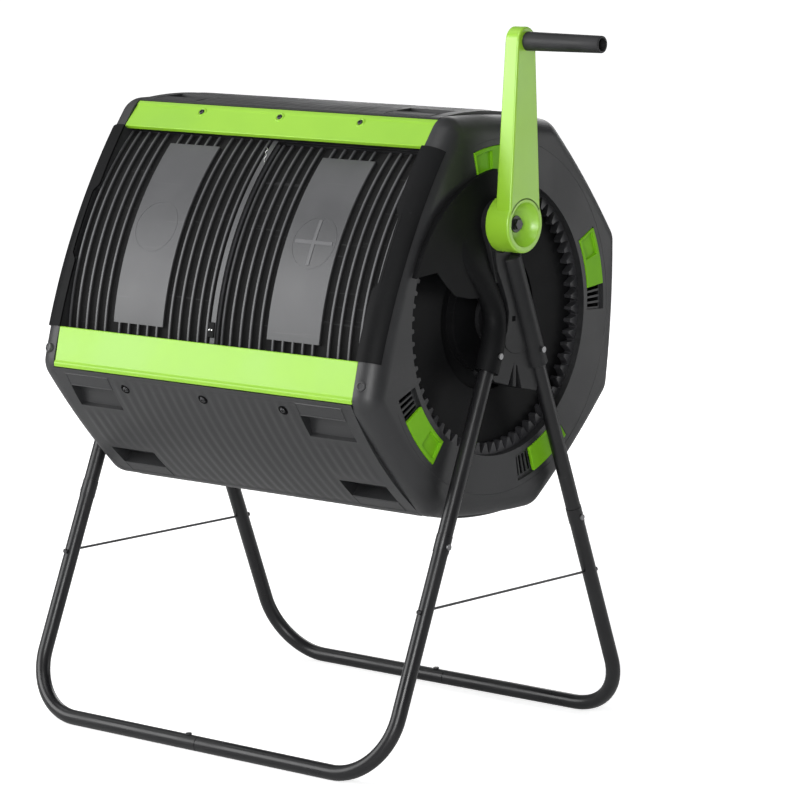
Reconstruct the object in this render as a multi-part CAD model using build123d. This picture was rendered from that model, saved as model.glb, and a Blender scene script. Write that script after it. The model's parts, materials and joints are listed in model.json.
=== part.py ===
from build123d import *
from build123d.topology import SkipClean
import math
import os

os.makedirs("parts", exist_ok=True)

# Sizes in mm. X runs along the drum, the crank is at +X, the doors face -Y, the floor is z = 0.

# Drum
axis_height = 715.0
rest_turn = -3.5
face_count = 8
apothem = 324.0
crown_radius = 1450.0
corner_round = 40.0
panel_half_length = 324.5
panel_thickness = 3.5
flange_depth = 12.0
flange_thickness = 3.0
seam_gap = 0.3
pocket_length = 97.0
pocket_width = 43.0
pocket_depth = 24.0
pocket_wall = 2.5
pocket_seam_inset = 39.0
pocket_end_inset = 23.5
divider_thickness = 5.0

# End caps
rim_depth = 40.5
rim_round = 34.0
cap_wall = 4.0
spigot_depth = 9.0
plate_ledge = 9.0
hub_groove_outer = 120.0
hub_groove_width = 28.0
hub_groove_depth = 12.0
hub_disc_rise = 2.0
hub_boss_radius = 25.0
hub_boss_rise = 4.0
hub_boss_depth = 38.0

# Gears
gear_module = 6.5
ring_teeth = 65
pinion_teeth = 16
pressure_angle = 20.0
addendum_share = 1.0
dedendum_share = 1.5
gear_backlash = 1.2
ring_rim = 3.0
ring_width = 14.2
ring_drop = 11.5
pinion_width = 12.0

# Doors
door_face_inset = 52.5
door_shift = 7.0
door_bulge_radius = 500.0
face_bulge_radius = 1090.0
door_skin = 2.5
door_rib_height = 5.5
door_rib_width = 3.2
door_rib_pitch = 20.8
door_rib_end_gap = 1.5
pad_width = 103.0
pad_end_gap = 20.0
pad_stub_count = 5
door_overlap = 6.0
door_end_gap = 2.8
stile_width = 10.0

# Door rails, strips and cheeks
rail_overlap = 8.0
rail_lip = 3.0
rail_back = 4.0
rail_end_gap = 2.5
wing_end_gap = 10.0
strip_width = 61.0
strip_thickness = 3.2
strip_lip = 14.0
strip_end_drop = 2.0
strip_screw_inset = 16.0
cheek_thickness = 3.3
cheek_cover = 2.0
cheek_wrap = 55.0
notch_half_length = 62.0
notch_depth = 9.5
finger_depth = 17.3

# Air vents
vent_width = 44.0
vent_span = 20.5
vent_travel = 8.5
vent_plate = 3.0
vent_pocket = 5.0
vent_floor = 3.0
vent_offsets = (-141.5, -63.5, 63.5, 141.5)
vent_play = 0.3
louvre_count = 4
louvre_length = 32.0
louvre_half = 0.6

# Stand
tube_diameter = 25.0
tube_wall = 1.5
leg_gap = 24.3
base_half_depth = 322.0
legs_meet_rise = 83.0
base_bend_radius = 105.0
leg_joint_height = 385.0
joint_overlap = 55.0
brace_height = 271.0
brace_diameter = 4.0
sleeve_wall = 7.0
sleeve_drop = 80.0
web_drop = 112.0
web_back = 10.0
web_front = 3.0
bracket_hub_radius = 46.0
bracket_skin = 5.0
axle_window = 9.0
bracket_arm_half = 38.0
bracket_arm_thickness = 9.8
guard_reach = 19.0
guard_depth = 10.2
guard_thickness = 3.0

# Axle, crank and grip
axle_radius = 10.0
bearing_wall = 4.0
crank_offset = -30.0
crank_length = 290.0
crank_boss_radius = 42.5
crank_boss_depth = 47.2
crank_recess = 8.0
arm_low_width = 67.0
arm_high_width = 43.0
arm_low_thickness = 25.0
arm_high_thickness = 18.0
shaft_radius = 12.0
drive_square = 16.4
grip_length = 146.0
grip_radius = 15.0
grip_taper = 1.5
grip_bolt_radius = 6.0

# Screws
screw_head_radius = 5.0
screw_head_height = 2.6
screw_radius = 2.0
panel_screw_inset = 26.5

# Clearances
fit_gap = 0.3
slide_gap = 0.8
run_gap = 0.06
tube_gap = 0.15
screw_gap = 0.15
swing_gap = 1.8

# Sizes that follow from the ones above
half_step = 180.0 / face_count
door_angle = 180.0 - half_step
cap_face = panel_half_length + rim_depth
leg_plane = cap_face + leg_gap
legs_meet = axis_height + legs_meet_rise
tube_radius = tube_diameter / 2
tube_bore = tube_radius - tube_wall
spigot_radius = tube_bore - tube_gap
door_crest = apothem - door_face_inset
door_centre = door_crest - door_bulge_radius
face_centre = door_crest - face_bulge_radius
ring_pitch = gear_module * ring_teeth / 2
pinion_pitch = gear_module * pinion_teeth / 2
gear_centres = ring_pitch - pinion_pitch
crank_rise = math.sqrt(gear_centres**2 - crank_offset**2)
crank_height = axis_height + crank_rise
mesh_angle = math.degrees(math.atan2(crank_rise, crank_offset))
ring_outer = ring_pitch + dedendum_share * gear_module + ring_rim
recess_radius = ring_outer + fit_gap
recess_floor = cap_face - ring_drop - ring_width - fit_gap
disc_face = recess_floor + hub_disc_rise
hub_face = disc_face + hub_boss_rise
pinion_start = recess_floor + swing_gap
vent_inner = recess_radius + cap_wall + 6.0
vent_outer = vent_inner + vent_width
guard_start = cap_face + swing_gap
guard_stop = guard_start + guard_depth
arm_start = guard_stop + fit_gap
arm_stop = arm_start + bracket_arm_thickness
bush_face = arm_stop + 1.5
boss_start = bush_face + 0.8
boss_stop = boss_start + crank_boss_depth
lean = math.atan2(base_half_depth, legs_meet - tube_radius)
drum_place = Pos(0, 0, axis_height) * Rot(rest_turn, 0, 0)
door_place = drum_place * Rot(door_angle - 90, 0, 0) * Pos(0, door_shift, door_centre)
face_turn = Rot(door_angle - 90, 0, 0) * Pos(0, door_shift, face_centre)

# Reach of a rounded corner from the drum axis, where two panels meet
step_sin = math.sin(math.radians(half_step))
step_cos = math.cos(math.radians(half_step))
crown_centre = crown_radius - apothem
corner_reach = math.sqrt(crown_radius**2 - (crown_centre * step_sin) ** 2) - crown_centre * step_cos
corner_turn = math.radians(half_step) - math.asin(corner_reach * step_sin / crown_radius)
seam_reach = corner_reach - corner_round * (1 / math.cos(corner_turn) - 1)
seam_angle = math.radians(2 * half_step)
door_half_width = seam_reach * math.sin(seam_angle) - strip_width

# Door levels, measured from the axis the doors bulge about: the left door runs outside the right one
left_crest = door_bulge_radius
left_skin = left_crest - door_rib_height
right_crest = left_skin - door_skin - slide_gap
right_skin = right_crest - door_rib_height
rail_bottom = right_skin - door_skin - slide_gap - rail_lip
inner_door_radius = rail_bottom - 1.0

# Levels of the door frame, measured from the flatter curve that its cheeks follow
cheek_under = face_bulge_radius + slide_gap
cap_door_radius = cheek_under - fit_gap


def save(name, shape):
    export_step(shape, f"parts/{name}.step")


def several(name, shapes):
    solids = [solid for shape in shapes for solid in shape.solids()]
    export_step(Compound(children=solids), f"parts/{name}.step")


def flat(points):
    return make_face(Polyline(*points, close=True))


# A (y, z) outline pushed along X
def slab(points, start, stop):
    return extrude(Plane.YZ.offset(start) * flat(points), stop - start)


def prism(sketch, start, stop):
    return extrude(Plane.YZ.offset(start) * sketch, stop - start)


def box_points(start, stop, low, high):
    return [(start, low), (stop, low), (stop, high), (start, high)]


# An (x, radius) outline turned about the X axis, whole or between two angles measured from +Y towards +Z
def lathe(points):
    return revolve(flat(points), Axis.X)


def sector(points, start, stop):
    return Rot(start, 0, 0) * revolve(flat(points), Axis.X, stop - start)


def rod(start, stop, outer, inner=0.0):
    way = Vector(*stop) - Vector(*start)
    section = Circle(outer) - Circle(inner) if inner else Circle(outer)
    return extrude(Plane(origin=start, z_dir=way) * section, way.length)


def along(point, way, distance):
    return tuple(p + w * distance for p, w in zip(point, way))


# A screw with its head standing on the given point and its shank going against the given way
def screw(point, way, shank):
    head = rod(point, along(point, way, screw_head_height), screw_head_radius)
    return head + rod(along(point, way, 0.5), along(point, way, -shank), screw_radius)


def screw_hole(point, way, depth):
    return rod(along(point, way, 1.0), along(point, way, -depth), screw_radius + screw_gap)


# Drum cross-section: eight crowned faces, or six of them and the door face
def outline(inset, door_radius=None, door_axis=face_centre):
    step = 2 * half_step
    shape = None
    for index in range(face_count):
        angle = math.radians(index * step)
        if door_radius and abs(index * step - door_angle) < step:
            continue
        centre = apothem - crown_radius
        disc = Pos(centre * math.cos(angle), centre * math.sin(angle)) * Circle(crown_radius - inset)
        shape = shape & disc if shape else disc
    if door_radius:
        angle = math.radians(door_angle)
        y = door_axis * math.cos(angle) + door_shift * math.sin(angle)
        z = door_axis * math.sin(angle) - door_shift * math.cos(angle)
        shape = shape & Pos(y, z) * Circle(door_radius)
    return fillet(shape.vertices(), corner_round - inset)


# Height of the crowned face at a distance from its middle line
def crown_level(t):
    return math.sqrt(crown_radius**2 - t**2) - crown_centre


# Wall panels, all one moulding: a crowned skin with two bolting flanges and four wedge-shaped grip pockets
def wall_panel():
    apex = seam_gap / 2 / step_sin
    far = 2 * apothem
    wedge_top = apex + far * step_cos
    wedge = flat([(0, apex), (far * step_sin, wedge_top), (-far * step_sin, wedge_top)])
    skin = (outline(0) - outline(panel_thickness)) & wedge
    panel = prism(skin, -panel_half_length, panel_half_length)
    low = seam_reach - panel_thickness - flange_depth
    high = seam_reach - panel_thickness / 2
    inner = seam_gap / 2
    outer = inner + flange_thickness
    flange = []
    for reach, side in ((low, inner), (high, inner), (high, outer), (low, outer)):
        flange.append((reach * step_sin - side * step_cos, reach * step_cos + side * step_sin))
    flange_stop = panel_half_length - spigot_depth - 2 * fit_gap
    for start, stop in ((divider_thickness, flange_stop), (-flange_stop, -divider_thickness)):
        panel += slab(flange, start, stop)
        panel += slab([(-y, z) for y, z in flange], start, stop)
    pocket_x = panel_half_length - pocket_end_inset - pocket_length / 2
    deep = apothem * step_sin / step_cos - pocket_seam_inset
    shallow = deep - pocket_width
    low = crown_level(deep) - pocket_depth
    cup = [
        (shallow - 2 * pocket_wall, crown_level(shallow) - panel_thickness / 2),
        (deep + pocket_wall, crown_level(deep) - panel_thickness / 2),
        (deep + pocket_wall, low - pocket_wall),
        (deep - pocket_wall, low - pocket_wall),
    ]
    hollow = [(shallow, crown_level(shallow)), (shallow, apothem), (deep, apothem), (deep, low)]
    half = pocket_length / 2
    for x in (-pocket_x, pocket_x):
        for side in (-1, 1):
            panel += slab([(side * t, n) for t, n in cup], x - half - pocket_wall, x + half + pocket_wall)
    for x in (-pocket_x, pocket_x):
        for side in (-1, 1):
            panel -= slab([(side * t, n) for t, n in hollow], x - half, x + half)
    return panel


panel = wall_panel()
panel_names = {0: "rear_panel", 1: "rear_upper_panel", 2: "top_panel", 5: "front_lower_panel"}
panel_names.update({6: "bottom_panel", 7: "rear_lower_panel"})
strip_screw_x = (-0.53 * panel_half_length, 0.0, 0.53 * panel_half_length)
panel_screws = []
for index, name in panel_names.items():
    place = drum_place * Rot(index * 2 * half_step - 90, 0, 0)
    piece = panel
    if name == "front_lower_panel":
        t = seam_reach * step_sin - panel_screw_inset
        head_z = crown_level(t)
        for x in strip_screw_x:
            panel_screws.append(place * screw((x, t, head_z + 2 * fit_gap), (0, 0, 1), panel_thickness))
            piece = piece - screw_hole((x, t, head_z + 2.0), (0, 0, 1), 3 * panel_thickness)
    save(name, place * piece)
several("panel_screws", panel_screws)


# Cheeks and finger pockets are (x, radius) outlines turned about the axis of the door frame's curve
def face_sector(points, half_chord):
    angle = math.degrees(math.asin(half_chord / face_bulge_radius))
    return sector(points, 90 - angle, 90 + angle)


# End caps: a rounded rim, a spigot inside the panels, a collar for the hub plate, and the vent seats
vent_angles = [door_angle + offset + vent_travel / 2 for offset in vent_offsets]
vent_half = vent_span / 2
vent_mid = (vent_inner + vent_outer) / 2
vent_seat = cap_face - vent_pocket
finger_x = panel_half_length - cheek_cover + notch_depth
finger_low = cap_door_radius - finger_depth
stem_half = 1.6
stem_width = 9.0
foot_reach = 6.0
thumb_border = 7.0
thumb_depth = 1.6


def end_cap():
    start = panel_half_length + fit_gap
    shoulder = start + cap_wall
    shell = prism(outline(0, cap_door_radius), start, cap_face)
    shell = fillet(shell.faces().sort_by(Axis.X)[-1].edges(), rim_round)
    hollow = prism(outline(cap_wall, cap_door_radius - cap_wall), shoulder, cap_face - cap_wall)
    hollow = fillet(hollow.faces().sort_by(Axis.X)[-1].edges(), rim_round - cap_wall)
    cap = shell - hollow
    spigot_inset = panel_thickness + fit_gap
    spigot_start = panel_half_length - spigot_depth
    cap += prism(outline(spigot_inset, inner_door_radius, door_centre), spigot_start, shoulder)
    throat = outline(spigot_inset + cap_wall, inner_door_radius - cap_wall, door_centre)
    cap -= prism(throat, spigot_start, shoulder)
    cap -= lathe(box_points(cap_face - 2 * cap_wall, cap_face + 1, 0, recess_radius + cap_wall / 2))
    ledge_front = recess_floor - cap_wall - fit_gap
    ledge_back = ledge_front - cap_wall
    cap += lathe([
        (ledge_back, recess_radius - plate_ledge),
        (ledge_back, recess_radius + cap_wall),
        (cap_face, recess_radius + cap_wall),
        (cap_face, recess_radius),
        (ledge_front, recess_radius),
        (ledge_front, recess_radius - plate_ledge),
    ])
    cup = box_points(shoulder - 1, finger_x + cap_wall, finger_low - cap_wall, cap_door_radius - 1)
    cap += face_turn * face_sector(cup, notch_half_length + cap_wall)
    pocket = box_points(start - 1, finger_x, finger_low, cap_door_radius + rim_round)
    cap -= face_turn * face_sector(pocket, notch_half_length)
    for angle in vent_angles:
        low = angle - vent_half - vent_travel - vent_play
        high = angle + vent_half + vent_play
        pan_back = vent_seat - vent_floor
        pan = box_points(pan_back, cap_face - 1, vent_inner - vent_floor, vent_outer + vent_floor)
        cap += sector(pan, low - 2 * vent_play, high + 2 * vent_play)
        cap -= sector(box_points(vent_seat, cap_face + 1, vent_inner, vent_outer), low, high)
        through = pan_back - 1
        half = stem_width / 2 + 2 * vent_play
        slot = box_points(through, vent_seat + 1, vent_mid - half, vent_mid + half)
        cap -= sector(slot, angle - stem_half - vent_travel - vent_play, angle + stem_half + vent_play)
        pitch = vent_travel / louvre_count
        reach = louvre_length / 2
        louvre = box_points(through, vent_seat + 1, vent_mid - reach, vent_mid + reach)
        for count in range(louvre_count):
            middle = low + vent_play + pitch * (count + 0.5)
            cap -= sector(louvre, middle - louvre_half, middle + louvre_half)
    return cap


cap = end_cap()
save("end_cap_right", drum_place * cap)
save("end_cap_left", drum_place * mirror(cap, Plane.YZ))


# Hub plates: the floor of the gear recess, with a round groove, a raised disc and the boss for the bearing
bearing_start = recess_floor - hub_boss_depth
groove_floor = recess_floor - hub_groove_depth
groove_inner = hub_groove_outer - hub_groove_width
hub_bore = axle_radius + run_gap + bearing_wall + tube_gap
hub_plate = lathe([
    (bearing_start, hub_bore),
    (bearing_start, hub_boss_radius),
    (disc_face - cap_wall, hub_boss_radius),
    (disc_face - cap_wall, groove_inner - cap_wall),
    (groove_floor - cap_wall, groove_inner - cap_wall),
    (groove_floor - cap_wall, hub_groove_outer + cap_wall),
    (recess_floor - cap_wall, hub_groove_outer + cap_wall),
    (recess_floor - cap_wall, recess_radius - fit_gap),
    (recess_floor, recess_radius - fit_gap),
    (recess_floor, hub_groove_outer),
    (groove_floor, hub_groove_outer),
    (groove_floor, groove_inner),
    (disc_face, groove_inner),
    (disc_face, hub_boss_radius),
    (hub_face, hub_boss_radius),
    (hub_face, hub_bore),
])
save("hub_plate_right", drum_place * hub_plate)
save("hub_plate_left", drum_place * mirror(hub_plate, Plane.YZ))


# Vent sliders: a plate in the seat, a thumb hollow, and a stem with a foot behind the cap wall
def vent_slider(angle):
    low = vent_inner + 2 * vent_play
    high = vent_outer - 2 * vent_play
    base = vent_seat + fit_gap
    top = base + vent_plate
    back = vent_seat - vent_floor - fit_gap
    half = stem_width / 2
    plate = sector(box_points(base, top, low, high), angle - vent_half, angle + vent_half)
    hollow = box_points(top - thumb_depth, top + 1, low + thumb_border, high - thumb_border)
    thumb = sector(hollow, angle + 1.0, angle + vent_half - 1.6)
    stem = box_points(back - 1, base + 1, vent_mid - half, vent_mid + half)
    stem = sector(stem, angle - stem_half, angle + stem_half)
    foot = box_points(back - 2.5, back, vent_mid - half - foot_reach, vent_mid + half + foot_reach)
    foot = sector(foot, angle - stem_half, angle + stem_half)
    return plate - thumb + stem + foot


vent_names = ("rear_upper", "top", "front", "rear_lower")
for place_name, angle in zip(vent_names, vent_angles):
    slider = vent_slider(angle)
    save(f"vent_right_{place_name}", drum_place * slider)
    save(f"vent_left_{place_name}", drum_place * mirror(slider, Plane.YZ))


# Divider between the two compartments
divider_outline = outline(panel_thickness + fit_gap, inner_door_radius, door_centre)
save("divider", drum_place * prism(divider_outline, -divider_thickness / 2, divider_thickness / 2))


# A point of the door section at a radius and a half chord, and an (x, radius) outline bowed between two chords
def chord_angle(chord):
    return math.degrees(math.asin(chord / door_bulge_radius))


def bowed(radius, chord):
    angle = math.radians(chord_angle(chord))
    return (radius * math.sin(angle), radius * math.cos(angle))


def bow(points, first, last):
    return sector(points, 90 - chord_angle(last), 90 - chord_angle(first))


# Doors: a ribbed leaf with a plain pad, rib stubs beyond the pad's ends, a meeting stile and an end rib
def door(crest):
    skin_top = crest - door_rib_height
    skin_low = skin_top - door_skin
    inner_end = -door_overlap
    outer_end = panel_half_length + fit_gap - door_end_gap
    stile_end = inner_end + stile_width
    rib_half = door_half_width - door_rib_end_gap
    pad_half = rib_half - pad_end_gap
    edge = door_half_width + rail_overlap
    middle = (stile_end + outer_end) / 2
    pad_side = pad_width / 2
    ribs = []
    for number in range(1, int((outer_end - stile_end) / 2 // door_rib_pitch) + 1):
        reach = pad_side + number * door_rib_pitch
        if reach < (outer_end - stile_end - door_rib_pitch) / 2:
            ribs += [middle - reach, middle + reach]
    half = door_rib_width / 2
    raised = [(x - half, x + half) for x in ribs] + [(middle - pad_side, middle + pad_side)]
    section = [(inner_end, skin_low), (inner_end, crest), (stile_end, crest), (stile_end, skin_top)]
    for start, stop in sorted(raised):
        section += [(start, skin_top), (start, crest), (stop, crest), (stop, skin_top)]
    end_rib = outer_end - door_rib_width
    section += [(end_rib, skin_top), (end_rib, crest), (outer_end, crest), (outer_end, skin_low)]
    stubs = [middle + (n - (pad_stub_count - 1) / 2) * door_rib_pitch for n in range(pad_stub_count)]
    gaps = [middle - pad_side] + [x + side for x in stubs for side in (-half, half)] + [middle + pad_side]
    leaf_edge = box_points(inner_end, outer_end, skin_low, skin_top)
    with SkipClean():
        leaf = bow(section, -rib_half, rib_half)
        for side in (-1, 1):
            for start, stop in zip(gaps[::2], gaps[1::2]):
                notch = box_points(start, stop, skin_top, crest + 1)
                leaf -= bow(notch, *sorted((side * pad_half, side * (rib_half + 1))))
            leaf += bow(leaf_edge, *sorted((side * rib_half, side * edge)))
    return leaf


save("door_right", door_place * door(right_crest))
save("door_left", door_place * mirror(door(left_crest), Plane.YZ))

# Strips run from the door opening to the seam; the upper and lower one differ by the shift of the doors
channel = door_half_width + rail_overlap + slide_gap
back = channel + rail_back
strip_side = seam_gap / 2 + 2 * fit_gap
strip_edge_level = math.sqrt(cap_door_radius**2 - door_half_width**2) + face_centre - door_centre
strip_edge = Vector(door_half_width, strip_edge_level)


class StripLine:
    def __init__(self, side):
        reach = seam_reach - strip_end_drop
        t = reach * math.sin(seam_angle) - strip_side * math.cos(seam_angle) - side * door_shift
        n = reach * math.cos(seam_angle) + strip_side * math.sin(seam_angle) - door_centre
        self.end = Vector(t, n)
        self.length = (self.end - strip_edge).length
        self.way = (self.end - strip_edge) / self.length

    # So far along the strip from its door edge, so deep under its face
    def point(self, distance, depth):
        t = strip_edge.X + self.way.X * distance + self.way.Y * depth
        n = strip_edge.Y + self.way.Y * distance - self.way.X * depth
        return (t, n)


# Rails that the door edges run in, hung from a wing under the strip
def rail(line):
    left_low = left_skin - door_skin - slide_gap
    left_high = left_skin + slide_gap
    top = left_high + 0.6 * rail_lip
    comb = [
        bowed(rail_bottom, door_half_width),
        bowed(rail_bottom + rail_lip, door_half_width),
        bowed(rail_bottom + rail_lip, channel),
        bowed(right_skin + slide_gap, channel),
        bowed(right_skin + slide_gap, door_half_width),
        bowed(left_low, door_half_width),
        bowed(left_low, channel),
        bowed(left_high, channel),
        bowed(left_high, door_half_width),
        bowed(top, door_half_width),
        bowed(top, back),
        bowed(rail_bottom, back),
    ]
    wing_top = strip_thickness + fit_gap
    wing_low = wing_top + rail_lip
    start = (bowed(top, channel)[0] - strip_edge.X) / line.way.X
    stop = line.length - wing_end_gap
    wing = [line.point(d, depth) for d, depth in box_points(start, stop, wing_top, wing_low)]
    web = [
        bowed(left_high, channel),
        bowed(left_high, back),
        line.point(start + rail_back, wing_top + rail_lip / 2),
        line.point(start, wing_top + rail_lip / 2),
    ]
    half = panel_half_length - rail_end_gap
    return slab(comb, -half, half) + slab(wing, -half, half) + slab(web, -half, half)


# Green strips over the rails, with a lip turned in beside the panel flange
def strip(line):
    inward = Vector(-math.sin(seam_angle), -math.cos(seam_angle))
    side = Vector(-math.cos(seam_angle), math.sin(seam_angle)) * strip_thickness
    under = Vector(line.way.Y, -line.way.X)
    corner_drop = (strip_thickness - side.dot(under)) / inward.dot(under)
    inner = line.end + inward * strip_lip
    inner_back = inner + side
    corner = line.end + side + inward * corner_drop
    band = [
        line.point(0.0, 0.0),
        (line.end.X, line.end.Y),
        (inner.X, inner.Y),
        (inner_back.X, inner_back.Y),
        (corner.X, corner.Y),
        line.point(0.0, strip_thickness),
    ]
    half = panel_half_length - fit_gap
    return slab(band, -half, half)


upper_line = StripLine(1)
lower_line = StripLine(-1)
upper_strip = strip(upper_line)
upper_rail = rail(upper_line)
strip_screws = []
screw_t, screw_n = upper_line.point(upper_line.length - strip_screw_inset, 0.0)
strip_normal = (0, -upper_line.way.Y, upper_line.way.X)
for x in strip_screw_x:
    spot = along((x, screw_t, screw_n), strip_normal, 0.1)
    strip_screws.append(door_place * screw(spot, strip_normal, strip_thickness + rail_lip + 3.0))
    hole = screw_hole(spot, strip_normal, strip_thickness + rail_lip + 5.0)
    upper_strip -= hole
    upper_rail -= hole
save("upper_strip", door_place * upper_strip)
save("upper_rail", door_place * upper_rail)
save("lower_strip", door_place * mirror(strip(lower_line), Plane.XZ))
save("lower_rail", door_place * mirror(rail(lower_line), Plane.XZ))
several("strip_screws", strip_screws)


# Cheeks: side bands wrapped part of the way over the cap rim, with a finger notch in the door-side edge
def cheek():
    rim_x = cap_face - rim_round
    rim_r = cap_door_radius - rim_round
    edge_x = panel_half_length - cheek_cover
    inner_round = rim_round + fit_gap
    outer_round = inner_round + cheek_thickness

    def rim_point(radius, degrees):
        angle = math.radians(degrees)
        return (rim_x + radius * math.sin(angle), rim_r + radius * math.cos(angle))

    outer_arc = [rim_point(outer_round, cheek_wrap * share) for share in (0, 0.5, 1)]
    inner_arc = [rim_point(inner_round, cheek_wrap * share) for share in (1, 0.5, 0)]
    path = [
        Line((edge_x, rim_r + outer_round), outer_arc[0]),
        ThreePointArc(*outer_arc),
        Line(outer_arc[2], inner_arc[0]),
        ThreePointArc(*inner_arc),
        Line(inner_arc[2], (edge_x, rim_r + inner_round)),
        Line((edge_x, rim_r + inner_round), (edge_x, rim_r + outer_round)),
    ]
    angle = math.degrees(math.asin((door_half_width - fit_gap) / face_bulge_radius))
    band = Rot(90 - angle, 0, 0) * revolve(make_face(path), Axis.X, 2 * angle)
    notch = box_points(edge_x - 1, edge_x + notch_depth, rim_r, rim_r + 2 * outer_round)
    return face_turn * (band - face_sector(notch, notch_half_length))


right_cheek = cheek()
save("cheek_right", drum_place * right_cheek)
save("cheek_left", drum_place * mirror(right_cheek, Plane.YZ))


# Gears with flat-sided involute teeth
def involute(angle):
    return math.tan(angle) - angle


def tooth_half_angle(radius, pitch_radius, teeth):
    base = pitch_radius * math.cos(math.radians(pressure_angle))
    lean_here = math.acos(min(1.0, base / radius))
    return math.pi / 2 / teeth + involute(math.radians(pressure_angle)) - involute(lean_here)


def tooth_points(radii, pitch_radius, teeth, slack, centre_angle):
    points = []
    for count in range(teeth):
        middle = math.radians(centre_angle) + 2 * math.pi * count / teeth
        rising = []
        falling = []
        for radius in radii:
            half = tooth_half_angle(radius, pitch_radius, teeth) + slack / 2 / pitch_radius
            rising.append((radius * math.cos(middle - half), radius * math.sin(middle - half)))
            falling.append((radius * math.cos(middle + half), radius * math.sin(middle + half)))
        points += rising + falling[::-1]
    return points


ring_tip = ring_pitch - addendum_share * gear_module
ring_root = ring_pitch + dedendum_share * gear_module
ring_radii = [ring_tip, ring_pitch - 0.2 * gear_module, ring_pitch + 0.5 * gear_module, ring_root]
ring_space = tooth_points(ring_radii, ring_pitch, ring_teeth, gear_backlash / 2, mesh_angle)
ring_start = recess_floor + fit_gap
ring_body = lathe(box_points(ring_start, ring_start + ring_width, ring_tip - 5.0, ring_outer))
ring_gear = ring_body - slab(ring_space, ring_start - 1, ring_start + ring_width + 1)
save("ring_gear", Pos(0, 0, axis_height) * ring_gear)

pinion_tip = pinion_pitch + addendum_share * gear_module
pinion_root = pinion_pitch - dedendum_share * gear_module
pinion_radii = [pinion_root, pinion_pitch - 0.5 * gear_module, pinion_pitch]
pinion_radii += [pinion_pitch + 0.5 * gear_module, pinion_tip]
pinion_shape = tooth_points(pinion_radii, pinion_pitch, pinion_teeth, -gear_backlash / 2, mesh_angle)
crank_place = Pos(0, crank_offset, crank_height)
recess_x = boss_stop - crank_recess
drive_stop = recess_x - 6.0
pinion = slab(pinion_shape, pinion_start, pinion_start + pinion_width)
pinion += lathe(box_points(pinion_start, bush_face, 0, shaft_radius))
half_square = drive_square / 2
square = box_points(-half_square, half_square, -half_square, half_square)
pinion += slab(square, bush_face - 1, drive_stop)
crank_screw_radius = 4.0
pinion -= lathe(box_points(drive_stop - 16, drive_stop + 1, 0, crank_screw_radius + screw_gap))
save("pinion", crank_place * pinion)


# Crank: boss with a dished face, tapered arm, and a square drive hole
def crank():
    boss = lathe([
        (boss_start, 0),
        (boss_start, crank_boss_radius),
        (boss_stop, crank_boss_radius),
        (boss_stop, crank_boss_radius - 9.0),
        (recess_x, crank_boss_radius - 9.0),
        (recess_x, 0),
    ])
    low = arm_low_width / 2
    high = arm_high_width / 2
    front = slab([(-low, 0), (low, 0), (high, crank_length), (-high, crank_length)], boss_start, boss_stop)
    front += prism(Pos(0, crank_length) * Circle(high), boss_start, boss_stop)
    side = [
        (boss_stop - arm_low_thickness, 0),
        (boss_stop, 0),
        (boss_stop, crank_length + arm_high_width),
        (boss_stop - arm_high_thickness, crank_length + arm_high_width),
    ]
    depth = extrude(Plane.XZ.offset(-arm_low_width) * flat(side), 2 * arm_low_width)
    arm = (front & depth) - lathe(box_points(boss_start, boss_stop + 1, 0, crank_boss_radius - 4.5))
    whole = arm + boss
    gap = half_square + screw_gap
    whole -= slab(box_points(-gap, gap, -gap, gap), boss_start - 1, drive_stop + 0.5)
    whole -= lathe(box_points(boss_start, boss_stop + 1, 0, crank_screw_radius + screw_gap))
    bolt_hole = Circle(grip_bolt_radius + screw_gap)
    whole -= prism(Pos(0, crank_length) * bolt_hole, boss_start - 1, boss_stop + 1)
    return whole


save("crank_arm", crank_place * crank())
crank_screw = lathe([
    (drive_stop - 14, 0),
    (drive_stop - 14, crank_screw_radius),
    (recess_x + 0.2, crank_screw_radius),
    (recess_x + 0.2, 9.0),
    (recess_x + 5.2, 9.0),
    (recess_x + 5.2, 0),
])
save("crank_screw", crank_place * crank_screw)

# Grip: a tapered sleeve turning on a headed bolt, open at its end
grip_place = Pos(0, crank_offset, crank_height + crank_length)
grip_start = boss_stop + 0.8
grip_stop = grip_start + grip_length
cup = 14.0
grip_bore = grip_bolt_radius + run_gap
grip = lathe([
    (grip_start, grip_bore),
    (grip_start, grip_radius),
    (grip_stop, grip_radius - grip_taper),
    (grip_stop, grip_radius - grip_taper - 3.0),
    (grip_stop - cup, grip_radius - grip_taper - 3.0),
    (grip_stop - cup, grip_bore),
])
save("crank_grip", grip_place * grip)
arm_back = boss_stop - arm_high_thickness - arm_low_thickness * 0.02
grip_bolt = lathe([
    (arm_back - 5.5, 0),
    (arm_back - 5.5, 10.0),
    (arm_back - 1.5, 10.0),
    (arm_back - 1.5, grip_bolt_radius),
    (grip_stop - cup + 0.6, grip_bolt_radius),
    (grip_stop - cup + 0.6, 9.5),
    (grip_stop - cup + 3.6, 9.5),
    (grip_stop - cup + 3.6, 0),
])
save("grip_bolt", grip_place * grip_bolt)

# Axles and their bearings
axle_bore = axle_radius + run_gap
bearing_radius = axle_bore + bearing_wall
flange_face = hub_face + 2.2
thrust_face = flange_face + slide_gap
bearing = lathe([
    (bearing_start, axle_bore),
    (bearing_start, bearing_radius),
    (hub_face + 0.2, bearing_radius),
    (hub_face + 0.2, hub_boss_radius - 3.0),
    (flange_face, hub_boss_radius - 3.0),
    (flange_face, axle_bore),
])
save("hub_bearing_right", drum_place * bearing)
save("hub_bearing_left", drum_place * mirror(bearing, Plane.YZ))
sleeve_radius = tube_radius + tube_gap + sleeve_wall
bracket_face = leg_plane + web_front
axle_stop = bracket_face - bracket_skin
axle = rod((bearing_start + 4, 0, axis_height), (axle_stop - 0.2, 0, axis_height), axle_radius)
axis_place = Pos(0, 0, axis_height)
save("axle_right", axle)
save("axle_left", mirror(axle, Plane.YZ))

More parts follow.
